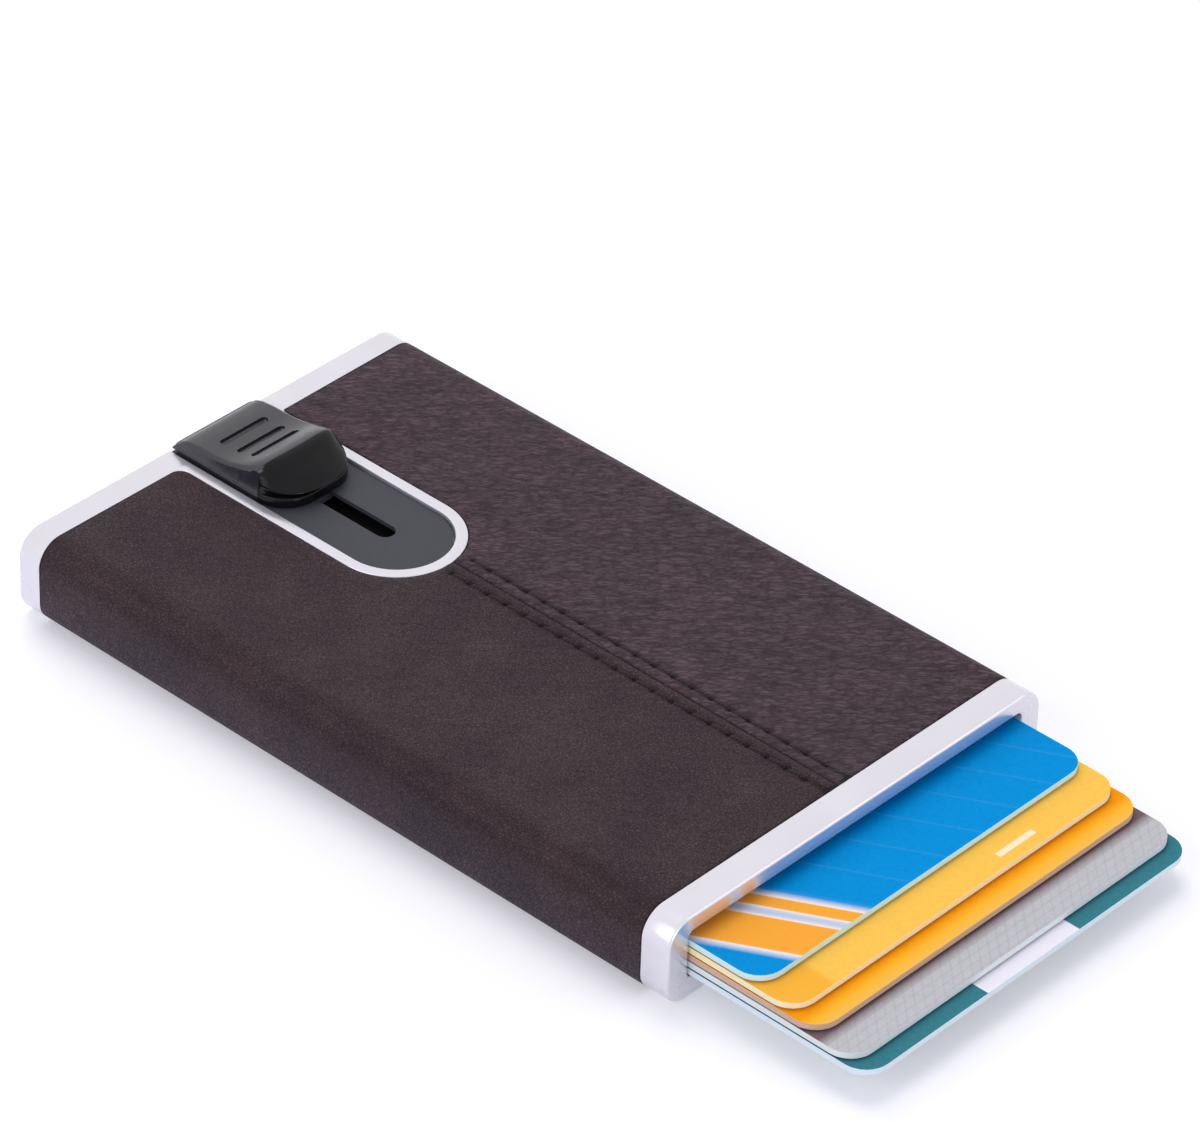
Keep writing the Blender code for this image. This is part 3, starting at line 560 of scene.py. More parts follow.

# %% [markdown]
# ## Cards
# Bank cards are laminated PVC: a printed core under a clear film, cut with a punch, so the core shows as a
# bright line round the edge. Its tint is painted reflection and shade from the cards beside it. Each card has
# a plain design of its own. The print is drawn with the card's own coordinates in millimetres, by comparing X
# and
# Y with the places of stripes and fields. The dots of the print would be 0.15 mm apart, and are drawn 0.6 mm
# apart to show at all.

# %% Card finish
def card_finish(name, ground_hex, core_and_painted_light_hex, draw):
    """Printed PVC. draw(tree, x, y, ground) adds the print, and gives its colour output."""
    material, tree, shader = new_finish(name, Specular_IOR_Level=0.03)
    place = add_node(tree, "ShaderNodeTexCoord")
    in_mm = add_node(
        tree, "ShaderNodeMapping", {"Vector": place.outputs["Object"], "Scale": (1000, 1000, 1000)}
    )
    axes = add_node(tree, "ShaderNodeSeparateXYZ", {0: in_mm})
    screen = add_node(tree, "ShaderNodeTexNoise", {"Vector": in_mm, "Scale": 1.6, "Detail": 4.0})
    dots = add_node(
        tree, "ShaderNodeMapRange",
        {"Value": screen, "From Min": 0.3, "From Max": 0.7, "To Min": 0.965, "To Max": 1.03}
    )
    ground = add_node(
        tree, "ShaderNodeVectorMath", {0: linear(ground_hex)[:3], 1: dots}, operation="MULTIPLY"
    )
    printed = draw(tree, axes.outputs["X"], axes.outputs["Y"], ground)
    geometry = add_node(tree, "ShaderNodeNewGeometry")
    normal = add_node(tree, "ShaderNodeSeparateXYZ", {0: geometry.outputs["Normal"]})
    is_face = add_node(tree, "ShaderNodeMath", {0: normal.outputs["Z"], 1: 0.5}, operation="GREATER_THAN")
    # The edges show the core, tinted with painted reflection and shade from the cards beside it.
    mixed = add_node(tree, "ShaderNodeMix", {0: is_face, 6: linear(core_and_painted_light_hex), 7: printed}, data_type="RGBA")
    gloss = add_node(tree, "ShaderNodeMapRange", {"Value": screen, "To Min": 0.22, "To Max": 0.34})
    feed(tree, shader, {"Base Color": mixed.outputs[2], "Roughness": gloss})
    return material


def in_field(tree, value, low, high, softness=0.05):
    """One inside a band of values and zero outside it, with a softened edge."""
    inside = add_node(
        tree, "ShaderNodeMapRange", {"Value": value, "From Min": low - softness, "From Max": low + softness}
    )
    beyond = add_node(
        tree, "ShaderNodeMapRange",
        {"Value": value, "From Min": high - softness, "From Max": high + softness}
    )
    return add_node(tree, "ShaderNodeMath", {0: inside, 1: beyond}, operation="SUBTRACT", use_clamp=True)


def overlay(tree, share, below, above):
    """Prints one colour over another, where share is one."""
    return add_node(tree, "ShaderNodeMix", {0: share, 6: below, 7: above}, data_type="RGBA").outputs[2]


print("print screen: 0.6 mm")

# %% Card prints
def draw_blue(tree, x, y, ground):
    """Two slanted amber stripes with soft white edges, and pale hairlines that cross the whole card."""
    slant = add_node(tree, "ShaderNodeMath", {0: y, 1: 0.55, 2: x}, operation="MULTIPLY_ADD")
    hairlines = add_node(tree, "ShaderNodeMath", {0: slant, 1: 3.0}, operation="PINGPONG")
    fine = add_node(
        tree, "ShaderNodeMath", {0: in_field(tree, hairlines, -0.1, 0.12), 1: 0.05}, operation="MULTIPLY"
    )
    colour = overlay(tree, fine, ground, linear("#bfe4fb"))
    for low, high in ((-53.5, -47.5), (-45.6, -43.6)):
        colour = overlay(tree, in_field(tree, slant, low - 0.7, high + 0.7, 0.7), colour, linear("#fdf6ec"))
        colour = overlay(tree, in_field(tree, slant, low, high, 0.12), colour, linear("#fcae3a"))
    return colour


def draw_amber(tree, x, y, ground):
    """A deeper band along one side, and a short pale bar."""
    colour = overlay(tree, in_field(tree, x, -40.0, -20.5, 0.4), ground, linear("#fbb93c"))
    in_row = in_field(tree, y, -63.3, -62.5)
    bar = add_node(tree, "ShaderNodeMath", {0: in_field(tree, x, 8.0, 14.0), 1: in_row}, operation="MULTIPLY")
    return overlay(tree, bar, colour, linear("#fff0c9"))


def draw_orange(tree, x, y, ground):
    """Plain orange: deep next to the card above, as a painted shadow of that card, fading to a pale yellow
    along the front edge.
    """
    # The deep orange ground next to the card above is a painted shadow of that card.
    shade_fade = add_node(tree, "ShaderNodeMapRange", {"Value": y, "From Min": -65.2, "From Max": -66.5})
    pale = add_node(tree, "ShaderNodeMapRange", {"Value": y, "From Min": -66.4, "From Max": -68.0})
    colour = overlay(tree, shade_fade, ground, linear("#fdbd30"))
    return overlay(tree, pale, colour, linear("#f7c258"))


def draw_grey(tree, x, y, ground):
    """Silver grey with two sets of fine darker lines 1.1 mm apart, and a painted shadow of the orange card at
    the front: a soft maroon band.
    """
    colour = ground
    for along, across in ((0.0, 1.0), (0.73, -0.68)):
        part = add_node(tree, "ShaderNodeMath", {0: x, 1: along}, operation="MULTIPLY")
        line = add_node(tree, "ShaderNodeMath", {0: y, 1: across, 2: part}, operation="MULTIPLY_ADD")
        ruled = add_node(tree, "ShaderNodeMath", {0: line, 1: 0.55}, operation="PINGPONG")
        faint = add_node(
            tree, "ShaderNodeMath", {0: in_field(tree, ruled, -0.2, 0.10), 1: 0.17}, operation="MULTIPLY"
        )
        colour = overlay(tree, faint, colour, linear("#999699"))
    # The maroon band is a painted shadow, where the edge of the orange card above shades this one.
    front = add_node(
        tree, "ShaderNodeMapRange", {"Value": y, "From Min": -69.5, "From Max": -68.0, "To Max": 0.85}
    )
    rear = add_node(
        tree, "ShaderNodeMapRange",
        {"Value": y, "From Min": -66.0, "From Max": -63.0, "To Min": 1.0, "To Max": 0.0}
    )
    band = add_node(tree, "ShaderNodeMath", {0: front, 1: rear}, operation="MULTIPLY")
    return overlay(tree, band, colour, linear("#624449"))


def draw_teal(tree, x, y, ground):
    """A white field in the middle of the front edge."""
    field = add_node(
        tree, "ShaderNodeMath", {0: in_field(tree, x, -7.6, 7.5), 1: in_field(tree, y, -90.0, -66.0)},
        operation="MULTIPLY"
    )
    return overlay(tree, field, ground, linear("#f1f1f6"))


# The second colour of each card is its core: white, with a tint of painted reflection and shade from the
# cards beside it.
designs = (
    ("Blue bank card", "#0093d7", "#d6fbfb", draw_blue),
    ("Amber bank card", "#ffcb55", "#fffacb", draw_amber),
    ("Orange bank card", "#fba00c", "#dcbb9c", draw_orange),
    ("Grey bank card", "#c1c4c4", "#e9f3ef", draw_grey),
    ("Teal bank card", "#3a8089", "#e8f6f9", draw_teal)
)
for number, (title, ground_hex, core_and_painted_light_hex, draw) in enumerate(designs, 1):
    dress(f"card_{number}", card_finish(title, ground_hex, core_and_painted_light_hex, draw))
print("cards:", [design[0] for design in designs])

# %% [markdown]
# ## Leather cover
# One sheet of cowhide 1 mm thick is wrapped round the sleeve, and its two ends meet in a sewn seam along
# the top. It could be drawn as a flat sheet and bent, but a box is quicker: its ends come off, its long
# edges are rounded to the radii of the case, and Solidify gives the sheet its thickness inwards.

# %% Leather sheet
END_STRETCH = 0.0002

sheet_low, sheet_high = (Vector(corner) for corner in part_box("leather_wrap"))
sheet_low.y -= END_STRETCH
sheet_high.y += END_STRETCH
cover = add_box("leather_cover", sheet_low, sheet_high)
take(cover)
pick("FACE", lambda middle, face: abs(face.normal.y) > 0.9)
bpy.ops.mesh.delete(type="FACE")
along = lambda edge: abs(edge.verts[0].co.y - edge.verts[1].co.y) > 0.05
pick("EDGE", lambda middle, edge: along(edge) and middle.z > sheet_high.z - 0.0001)
round_edges(TOP_EDGE_RADIUS, 12)
pick("EDGE", lambda middle, edge: along(edge) and middle.z < 0.0001 and abs(middle.x) > 0.03)
round_edges(BOTTOM_EDGE_RADIUS, 10)
leave()
apply_modifier(cover, "SOLIDIFY", thickness=HIDE_THICKNESS, offset=-1.0, use_even_offset=True)
print("sheet:", len(cover.data.polygons), "faces")

# %% [markdown]
# The hide is cut out for the slider's track. The cutter is a box whose two front edges are bevelled by half
# its width, which makes the round tip. At the rear the left corner of the hide is trimmed round and the
# right one is nearly square, as on the real one.

# %% Opening for the track, and the seam
OPENING_HALF_WIDTH = 0.0083
OPENING_TIP, OPENING_REAR = 0.0117, 0.0480
SEAM_X = 0.0009
SEAM_GAP = 0.00003
LEFT_CORNER_RADIUS = 0.0014
RIGHT_CORNER_RADIUS = 0.0005
CUT_LOW, CUT_HIGH = 0.009, 0.012
HALF_CUT = (CUT_LOW + CUT_HIGH) / 2

track_cutter = add_box(
    "track_cutter", (-OPENING_HALF_WIDTH, OPENING_TIP, CUT_LOW), (OPENING_HALF_WIDTH, OPENING_REAR, CUT_HIGH)
)
take(track_cutter)
pick("EDGE", lambda middle, edge: abs(middle.z - HALF_CUT) < 0.0001 and middle.y < OPENING_TIP + 0.001)
round_edges(OPENING_HALF_WIDTH - 0.000001, 28)
leave()
cut_away(cover, track_cutter)
seam_cutter = add_box("seam_cutter", (SEAM_X - SEAM_GAP / 2, sheet_low.y - OVERRUN, CUT_LOW),
                      (SEAM_X + SEAM_GAP / 2, OPENING_TIP + OVERRUN, CUT_HIGH))
cut_away(cover, seam_cutter)
take(cover)
for x, radius in ((-OPENING_HALF_WIDTH, LEFT_CORNER_RADIUS), (OPENING_HALF_WIDTH, RIGHT_CORNER_RADIUS)):
    corner = Vector((x, sheet_high.y, HALF_CUT))
    found = pick("EDGE", lambda middle, edge: (middle - corner).length < 0.0002)
    round_edges(radius, 8)
    print("rear corner at", round(x, 4), "edges", found)

# %% [markdown]
# Cut leather is pared and burnished, so its top rim is round and not sharp. The rim edges are the ones
# where the outer face meets a wall. They are found by the angle between their two faces.

# %% Burnished rim
RIM_RADIUS = 0.00025


def faces_out(face):
    """True for the outer face of the sheet, and false for its inside and its cut walls."""
    middle = face.calc_center_median()
    out = Vector((middle.x, 0.0, (middle.z - 0.0055) * 6)).normalized()
    return abs(face.normal.y) < 0.5 and face.normal.dot(out) > 0.5


def on_rim(middle, edge):
    """True for a sharp edge of the outer face."""
    if len(edge.link_faces) != 2 or edge.calc_face_angle(0) < 1.0:
        return False
    return any(faces_out(face) for face in edge.link_faces)


rims = pick("EDGE", on_rim)
round_edges(RIM_RADIUS, 3)
print("rim edges:", rims)

# %% [markdown]
# The top is scored into a fine grid by bisecting it, so that the stitches can pull it in. The grid is
# closest beside the seam, and its rows are a quarter of a stitch apart.

# %% Score lines on the top
STITCH_PITCH = 0.0028
STITCH_COUNT = 19
LAST_HOLE_Y = 0.0104
ROW_OFFSETS = (-0.0017, 0.0017)
COLUMN_STEPS = (0.0006, 0.0009, 0.0013, 0.0017, 0.0021, 0.0026, 0.0034)

top_face = lambda middle, face: middle.z > sheet_high.z - 0.00001 and face.normal.z > 0.99
columns = [SEAM_X + side * step for side in (-1, 1) for step in COLUMN_STEPS]
columns += [x / 1000 for x in range(-26, 28, 3) if abs(x / 1000 - SEAM_X) > 0.004]
for x in columns:
    pick("FACE", top_face)
    bpy.ops.mesh.bisect(plane_co=(x, 0, 0), plane_no=(1, 0, 0))
rows = [LAST_HOLE_Y - STITCH_PITCH / 4 * step for step in range(-1, 4 * STITCH_COUNT + 4)]
rows += [y / 1000 for y in range(13, 46, 3)]
for y in rows:
    pick("FACE", top_face)
    bpy.ops.mesh.bisect(plane_co=(0, y, 0), plane_no=(0, 1, 0))
leave()
print("scored top:", len(cover.data.polygons), "faces")

# %% [markdown]
# The thread pulls the hide down at every hole, and the folded edge between the two rows stands up a little.
# Both are made by moving a few points with proportional editing, whose falloff carries the points around
# them.

# %% Pulled in holes
SEAM_LIFT, LIFT_REACH = 0.00016, 0.0008
HOLE_DEPTH, HOLE_REACH = 0.00038, 0.0010
holes = [LAST_HOLE_Y - STITCH_PITCH * step for step in range(STITCH_COUNT + 1)]


def at_hole(middle, point):
    """True for a point of the top where the needle went through."""
    if middle.z < sheet_high.z - 0.00002:
        return False
    near_row = any(abs(middle.x - SEAM_X - offset) < 0.0001 for offset in ROW_OFFSETS)
    return near_row and any(abs(middle.y - hole) < 0.0001 for hole in holes)


def beside_seam(middle, point):
    """True for a point of the two lines close beside the seam."""
    return middle.z > sheet_high.z - 0.00002 and abs(abs(middle.x - SEAM_X) - 0.0009) < 0.0001


take(cover)
raised = pick("VERT", beside_seam)
bpy.ops.transform.translate(
    value=(0, 0, SEAM_LIFT), use_proportional_edit=True, proportional_edit_falloff="SMOOTH",
    proportional_size=LIFT_REACH
)
pulled = pick("VERT", lambda middle, point: abs(middle.z - sheet_high.z) < 0.0003 and at_hole(
    Vector((middle.x, middle.y, sheet_high.z)), point))
bpy.ops.transform.translate(
    value=(0, 0, -HOLE_DEPTH), use_proportional_edit=True, proportional_edit_falloff="SHARP",
    proportional_size=HOLE_REACH
)
leave()
bpy.ops.object.shade_smooth_by_angle(angle=math.radians(40))
print("raised points", raised, "holes", pulled)

# %% [markdown]
# ### Hide
# Aniline dyed cowhide keeps its own grain. On the left half it is fine and even, with pebbles of a third of
# a millimetre. The right half comes from a looser part of the skin: its pebbles are stretched into long
# scales that lie slantwise. Both are Voronoi cells that waver with a noise, and a Mapping node stretches and
# turns the second set.

# %% Grain of the hide
hide, tree, shader = new_finish("Aniline dyed cowhide", Specular_IOR_Level=0.15)
place = add_node(tree, "ShaderNodeTexCoord")
axes = add_node(tree, "ShaderNodeSeparateXYZ", {0: place.outputs["Object"]})
right_end = add_node(
    tree, "ShaderNodeMapRange",
    {"Value": axes.outputs["X"], "From Min": SEAM_X - 0.0001, "From Max": SEAM_X + 0.0001}
)
waver = add_node(
    tree, "ShaderNodeTexNoise", {"Vector": place.outputs["Object"], "Scale": 700.0, "Detail": 3.0}
)
wavered = add_node(
    tree, "ShaderNodeVectorMath",
    {0: waver.outputs["Color"], 1: (0.0010, 0.0010, 0.0010), 2: place.outputs["Object"]},
    operation="MULTIPLY_ADD"
)
slant = add_node(
    tree, "ShaderNodeMapping",
    {"Vector": wavered, "Rotation": (0, 0, math.radians(-47)), "Scale": (4.8, 1.0, 1.0)},
    vector_type="TEXTURE"
)
scales = add_node(
    tree, "ShaderNodeTexVoronoi", {"Vector": slant, "Scale": 2250.0}, feature="DISTANCE_TO_EDGE"
)
scale_height = add_node(tree, "ShaderNodeMapRange", {"Value": scales, "From Max": 0.28})
pebbles = add_node(
    tree, "ShaderNodeTexVoronoi", {"Vector": wavered, "Scale": 2700.0}, feature="DISTANCE_TO_EDGE"
)
pebble_height = add_node(tree, "ShaderNodeMapRange", {"Value": pebbles, "From Max": 0.30})
grain = add_node(tree, "ShaderNodeMix", {0: right_end, 2: pebble_height, 3: scale_height})
folds = add_node(tree, "ShaderNodeTexNoise", {"Vector": slant, "Scale": 1500.0, "Detail": 3.0})
waves = add_node(
    tree, "ShaderNodeTexNoise", {"Vector": place.outputs["Object"], "Scale": 150.0, "Detail": 3.0}
)
low_bump = add_node(tree, "ShaderNodeBump", {"Height": waves, "Strength": 0.5, "Distance": 0.0003})
fold_bump = add_node(
    tree, "ShaderNodeBump", {"Height": folds, "Strength": 0.5, "Distance": 0.0002, "Normal": low_bump}
)
grain_bump = add_node(
    tree, "ShaderNodeBump", {"Height": grain, "Strength": 0.7, "Distance": 0.00007, "Normal": fold_bump}
)
feed(tree, shader, {"Normal": grain_bump})
print("grain of 0.37 mm pebbles, and scales of 0.5 by 2.1 mm")

# %% [markdown]
# Along the long left edge, light and shade are painted into the hide: a dark band of painted shade where the
# top turns down, then a paler ridge as a painted highlight, and the side painted paler and bluer towards the
# table, as a painted reflection of the floor. The ramp follows the way round the edge in millimetres. Its
# colours multiply the dye twice over, so #bcbcbc, which is half in linear light, stands for no change.

# %% Painted shade, highlight and floor reflection along the left edge
WANDER = 0.0016
RAMP_START_MM = -1.2
RAMP_LENGTH_MM = 12.7
EDGE_STOPS = ((-0.90, "#bcbcbc"), (-0.25, "#b0acac"), (0.60, "#aca7a8"), (1.30, "#aba4a5"),
              (2.00, "#b1acac"), (2.80, "#bfbaba"), (3.60, "#b9b5b3"), (4.40, "#b1aeac"),
              (5.10, "#b3b1b1"), (6.00, "#bdbcbc"), (8.20, "#c9cdd1"), (9.20, "#cfd4db"),
              (10.20, "#d5dbe4"), (11.00, "#dee7f0"))

from_edge = add_node(
    tree, "ShaderNodeMath", {0: sheet_low.x + TOP_EDGE_RADIUS, 1: axes.outputs["X"]}, operation="SUBTRACT"
)
below_edge = add_node(tree, "ShaderNodeMath", {0: sheet_high.z, 1: axes.outputs["Z"]}, operation="SUBTRACT")
way_round = add_node(tree, "ShaderNodeMath", {0: from_edge, 1: below_edge}, operation="ADD")
wobble = add_node(
    tree, "ShaderNodeTexNoise", {"Vector": place.outputs["Object"], "Scale": 260.0, "Detail": 4.0}
)
strayed = add_node(tree, "ShaderNodeMath", {0: wobble, 1: WANDER, 2: way_round}, operation="MULTIPLY_ADD")
ramp_start = WANDER / 2 + RAMP_START_MM / 1000
ramp_end = ramp_start + RAMP_LENGTH_MM / 1000
way_share = add_node(
    tree, "ShaderNodeMapRange", {"Value": strayed, "From Min": ramp_start, "From Max": ramp_end}
)
edge_ramp = add_node(tree, "ShaderNodeValToRGB", {"Fac": way_share})
edge_stops = edge_ramp.color_ramp.elements
for number, (way, tint) in enumerate(EDGE_STOPS):
    stop = edge_stops[number] if number < 2 else edge_stops.new(1.0)
    stop.position = (way - RAMP_START_MM) / RAMP_LENGTH_MM
    stop.color = linear(tint)
# Painted shade, highlight and floor reflection along the left edge, as a tint that the dye is multiplied by.
painted_edge_light_and_shade = add_node(tree, "ShaderNodeVectorMath", {0: edge_ramp, 1: (2.0, 2.0, 2.0)}, operation="MULTIPLY")
print("edge stops:", len(edge_stops))

# %% [markdown]
# Aniline dye sinks in unevenly, so the brown wanders between two near tones about every centimetre. Shade is
# painted into the valleys of the grain and its folds, and light onto the tops of the grain. The valleys stay
# dull, and handling polishes the tops. Round each hole and along both rows, where the thread pulls the hide
# in, shade is painted into the colour as well.

# %% Dye, and painted shade in the grain, the folds and along the stitches
dye = add_node(tree, "ShaderNodeTexNoise", {"Vector": place.outputs["Object"], "Scale": 110.0, "Detail": 6.0})
left_tone = add_node(tree, "ShaderNodeValToRGB", {"Fac": dye})
set_tones(left_tone, "#3b3035", "#47393b", 0.35, 0.65)
right_tone = add_node(tree, "ShaderNodeValToRGB", {"Fac": dye})
set_tones(right_tone, "#463b40", "#503f45", 0.35, 0.65)
tone = add_node(tree, "ShaderNodeMix", {0: right_end, 6: left_tone, 7: right_tone}, data_type="RGBA")
grain_contrast = add_node(tree, "ShaderNodeMapRange", {"Value": right_end, "To Min": 0.50, "To Max": 0.58})
# Painted shade in the valleys of the grain, and painted light on its tops.
grain_shade = add_node(
    tree, "ShaderNodeMapRange", {"Value": grain, "To Min": grain_contrast, "To Max": 1.16}
)
half_stitch = add_node(tree, "ShaderNodeMath", {0: axes.outputs["X"], 1: SEAM_X}, operation="SUBTRACT")
off_seam = add_node(tree, "ShaderNodeMath", {0: half_stitch}, operation="ABSOLUTE")
off_row = add_node(tree, "ShaderNodeMath", {0: off_seam, 1: ROW_OFFSETS[1]}, operation="SUBTRACT")
past_tip = add_node(tree, "ShaderNodeMath", {0: axes.outputs["Y"], 1: LAST_HOLE_Y}, operation="SUBTRACT")
off_hole = add_node(tree, "ShaderNodeMath", {0: past_tip, 1: STITCH_PITCH / 2}, operation="PINGPONG")
hole_vector = add_node(tree, "ShaderNodeCombineXYZ", {0: off_row, 1: off_hole})
hole_distance = add_node(tree, "ShaderNodeVectorMath", {0: hole_vector}, operation="LENGTH")
# Painted shade round each hole, and along both rows of stitches.
hole_shade = add_node(
    tree, "ShaderNodeMapRange",
    {
        "Value": hole_distance.outputs["Value"], "From Min": 0.00015, "From Max": 0.00080, "To Min": 0.25,
        "To Max": 1.0
    }
)
row_distance = add_node(tree, "ShaderNodeMath", {0: off_row}, operation="ABSOLUTE")
row_shade = add_node(
    tree, "ShaderNodeMapRange",
    {"Value": row_distance, "From Min": 0.00015, "From Max": 0.00055, "To Min": 0.44, "To Max": 1.0}
)
seam_shade = add_node(tree, "ShaderNodeMath", {0: hole_shade, 1: row_shade}, operation="MINIMUM")
on_rows = add_node(tree, "ShaderNodeMath", {0: past_tip, 1: 0.0004}, operation="GREATER_THAN")
below_top = add_node(tree, "ShaderNodeMath", {0: axes.outputs["Z"], 1: 0.0098}, operation="LESS_THAN")
no_rows = add_node(tree, "ShaderNodeMath", {0: on_rows, 1: below_top}, operation="MAXIMUM")
stitch_shade = add_node(tree, "ShaderNodeMath", {0: seam_shade, 1: no_rows}, operation="MAXIMUM")
# Painted shade in the folds and painted light on their ridges, stronger on the right half.
fold_range = add_node(tree, "ShaderNodeMapRange", {"Value": right_end, "To Min": 0.92, "To Max": 0.66})
fold_shade = add_node(
    tree, "ShaderNodeMapRange",
    {"Value": folds, "From Min": 0.40, "From Max": 0.58, "To Min": fold_range, "To Max": 1.06}
)
# The dye is multiplied by the painted shade of grain, folds and stitches, and by the painted light and shade
# of the left edge.
factor = add_node(tree, "ShaderNodeMath", {0: grain_shade, 1: fold_shade}, operation="MULTIPLY")
factor = add_node(tree, "ShaderNodeMath", {0: factor, 1: stitch_shade}, operation="MULTIPLY")
shaded = add_node(tree, "ShaderNodeVectorMath", {0: tone.outputs[2], 1: factor}, operation="MULTIPLY")
shaded = add_node(tree, "ShaderNodeVectorMath", {0: shaded, 1: painted_edge_light_and_shade}, operation="MULTIPLY")
polish = add_node(tree, "ShaderNodeMapRange", {"Value": grain, "To Min": 0.70, "To Max": 0.50})
feed(tree, shader, {"Base Color": shaded, "Roughness": polish})
cover.data.materials.append(hide)
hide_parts("leather_wrap")
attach(cover, "case")
print("hide on", cover.name)

# %% [markdown]
# ## Stitches
# Two rows of lockstitch hold the folded ends down, one on each side of the seam. Each stitch is a short
# thick thread that dives into a hole at both ends. One is made from a rod, cut twice near each end and bent
# down there, and an Array modifier repeats it.

# %% One stitch and its row
THREAD_RADIUS = 0.00023
THREAD_SINK = 0.00004
THREAD_SLANT = math.radians(7)
STITCH_LENGTH = 0.0024


def add_stitch_row(name, x):
    """One row of stitches along Y, from the tip of the track to the mouth."""
    bpy.ops.object.select_all(action="DESELECT")
    middle_y = LAST_HOLE_Y - STITCH_PITCH / 2
    bpy.ops.mesh.primitive_cylinder_add(vertices=10, radius=THREAD_RADIUS, depth=STITCH_LENGTH,
                                        location=(x, middle_y, sheet_high.z - THREAD_SINK),
                                        rotation=(math.radians(90), 0, THREAD_SLANT))
    bpy.ops.object.transform_apply(location=True, rotation=True, scale=True)
    row = bpy.context.object
    row.name = name
    take(row)
    for step in (-0.38, -0.25, 0.25, 0.38):
        bpy.ops.mesh.select_all(action="SELECT")
        bpy.ops.mesh.bisect(plane_co=(0, middle_y + step * STITCH_LENGTH, 0), plane_no=(0, 1, 0))
    for reach, drop in ((0.36, 0.00009), (0.45, 0.00022)):
        pick("VERT", lambda middle, point: abs(middle.y - middle_y) > reach * STITCH_LENGTH)
        bpy.ops.transform.translate(value=(0, 0, -drop))
    leave()
    apply_modifier(row, "ARRAY", count=STITCH_COUNT, use_relative_offset=False, use_constant_offset=True,
                   constant_offset_displace=(0, -STITCH_PITCH, 0))
    bpy.ops.object.shade_smooth_by_angle(angle=math.radians(60))
    return row


rows = [add_stitch_row(name, SEAM_X + offset)
        for name, offset in zip(("stitches_left", "stitches_right"), ROW_OFFSETS)]
print("stitches in each row:", STITCH_COUNT)

# %% [markdown]
# The thread is polyester, twisted from thin plies and bonded with a clear resin. It is dull, and its plies
# show as slanted bands about a third of a millimetre apart.

# %% Thread
thread, tree, shader = new_finish(
    "Bonded polyester thread, dark brown", Roughness=0.6, Specular_IOR_Level=0.2
)
place = add_node(tree, "ShaderNodeTexCoord")
twist = add_node(
    tree, "ShaderNodeMapping", {"Vector": place.outputs["Object"], "Rotation": (0, 0, math.radians(35))}
)
plies = add_node(tree, "ShaderNodeTexWave", {"Vector": twist, "Scale": 900.0}, bands_direction="Y")
tone = add_node(tree, "ShaderNodeValToRGB", {"Fac": plies.outputs["Fac"]})
set_tones(tone, "#1d1618", "#372b2f")
feed(tree, shader, {"Base Color": tone})
for row in rows:
    row.data.materials.append(thread)
    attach(row, "case")

# %% [markdown]
# ## Thumb slider
# The slider is moulded in one piece. Its low tail has three grooves for grip, a ramp rises to a crest, and
# a round nose stands over the foot. It could be sculpted, but rows of points give cleaner highlights: a box
# is cut into rows and columns, each point is moved to the slider's side profile, and the points of the nose
# are also pushed back the more, the further they are from the middle, which makes the nose round from
# above.

# %% Slider profile
SLIDER_HALF_WIDTH = 0.00638
SIDE_LEAN = math.tan(math.radians(6))
BODY_LOW = 0.0112
TAIL_ROWS = ((49.80, 11.35), (49.30, 11.95), (48.70, 12.45), (48.10, 12.72), (47.40, 12.90), (45.80, 13.08),
             (43.70, 13.12), (42.20, 13.22), (41.00, 13.42), (39.90, 13.72), (39.00, 14.08), (38.20, 14.48),
             (37.50, 14.84), (36.90, 15.09), (36.40, 15.23))
NOSE_ROWS = ((35.90, 15.30, 11.2), (35.40, 15.28, 11.2), (34.90, 15.12, 11.2), (34.40, 14.82, 11.2),
             (33.90, 14.45, 11.2), (33.30, 13.98, 11.2), (32.70, 13.54, 12.05), (32.10, 13.14, 12.18),
             (31.50, 12.80, 12.24), (31.05, 12.60, 12.30), (30.90, 12.46, 12.36))
COLUMNS = (0.0, 1.2, 2.4, 3.5, 4.4, 5.1, 5.6, 5.95)
NOSE_WIDTH, NOSE_DEPTH, NOSE_POWER = 0.00652, 0.0059, 2.2
CREST_Y, LIP_Y = 0.0364, 0.0309
CREST_DROP, CREST_FOOT = 0.0009, 0.0136
LIP_RISE, LIP_END_Y = 0.0007, 0.0335


def nose_push(x, y):
    """How far a point of the nose goes back: all the way at the lip, and not at all at the crest."""
    share = max(0.0, (CREST_Y - y) / (CREST_Y - LIP_Y))
    return share * NOSE_DEPTH * (1 - (1 - (abs(x) / NOSE_WIDTH) ** NOSE_POWER) ** (1 / NOSE_POWER))


def lip_rise(x, y):
    """The lip's ends turn up into the crest's corners."""
    share = max(0.0, (LIP_END_Y - y) / (LIP_END_Y - LIP_Y))
    return share * LIP_RISE * (abs(x) / SLIDER_HALF_WIDTH) ** 8


def crest_drop(x, top):
    """The crest falls off towards its two ends."""
    share = max(0.0, (top - CREST_FOOT) / (slider_top - CREST_FOOT))
    return share * CREST_DROP * (abs(x) / SLIDER_HALF_WIDTH) ** 7


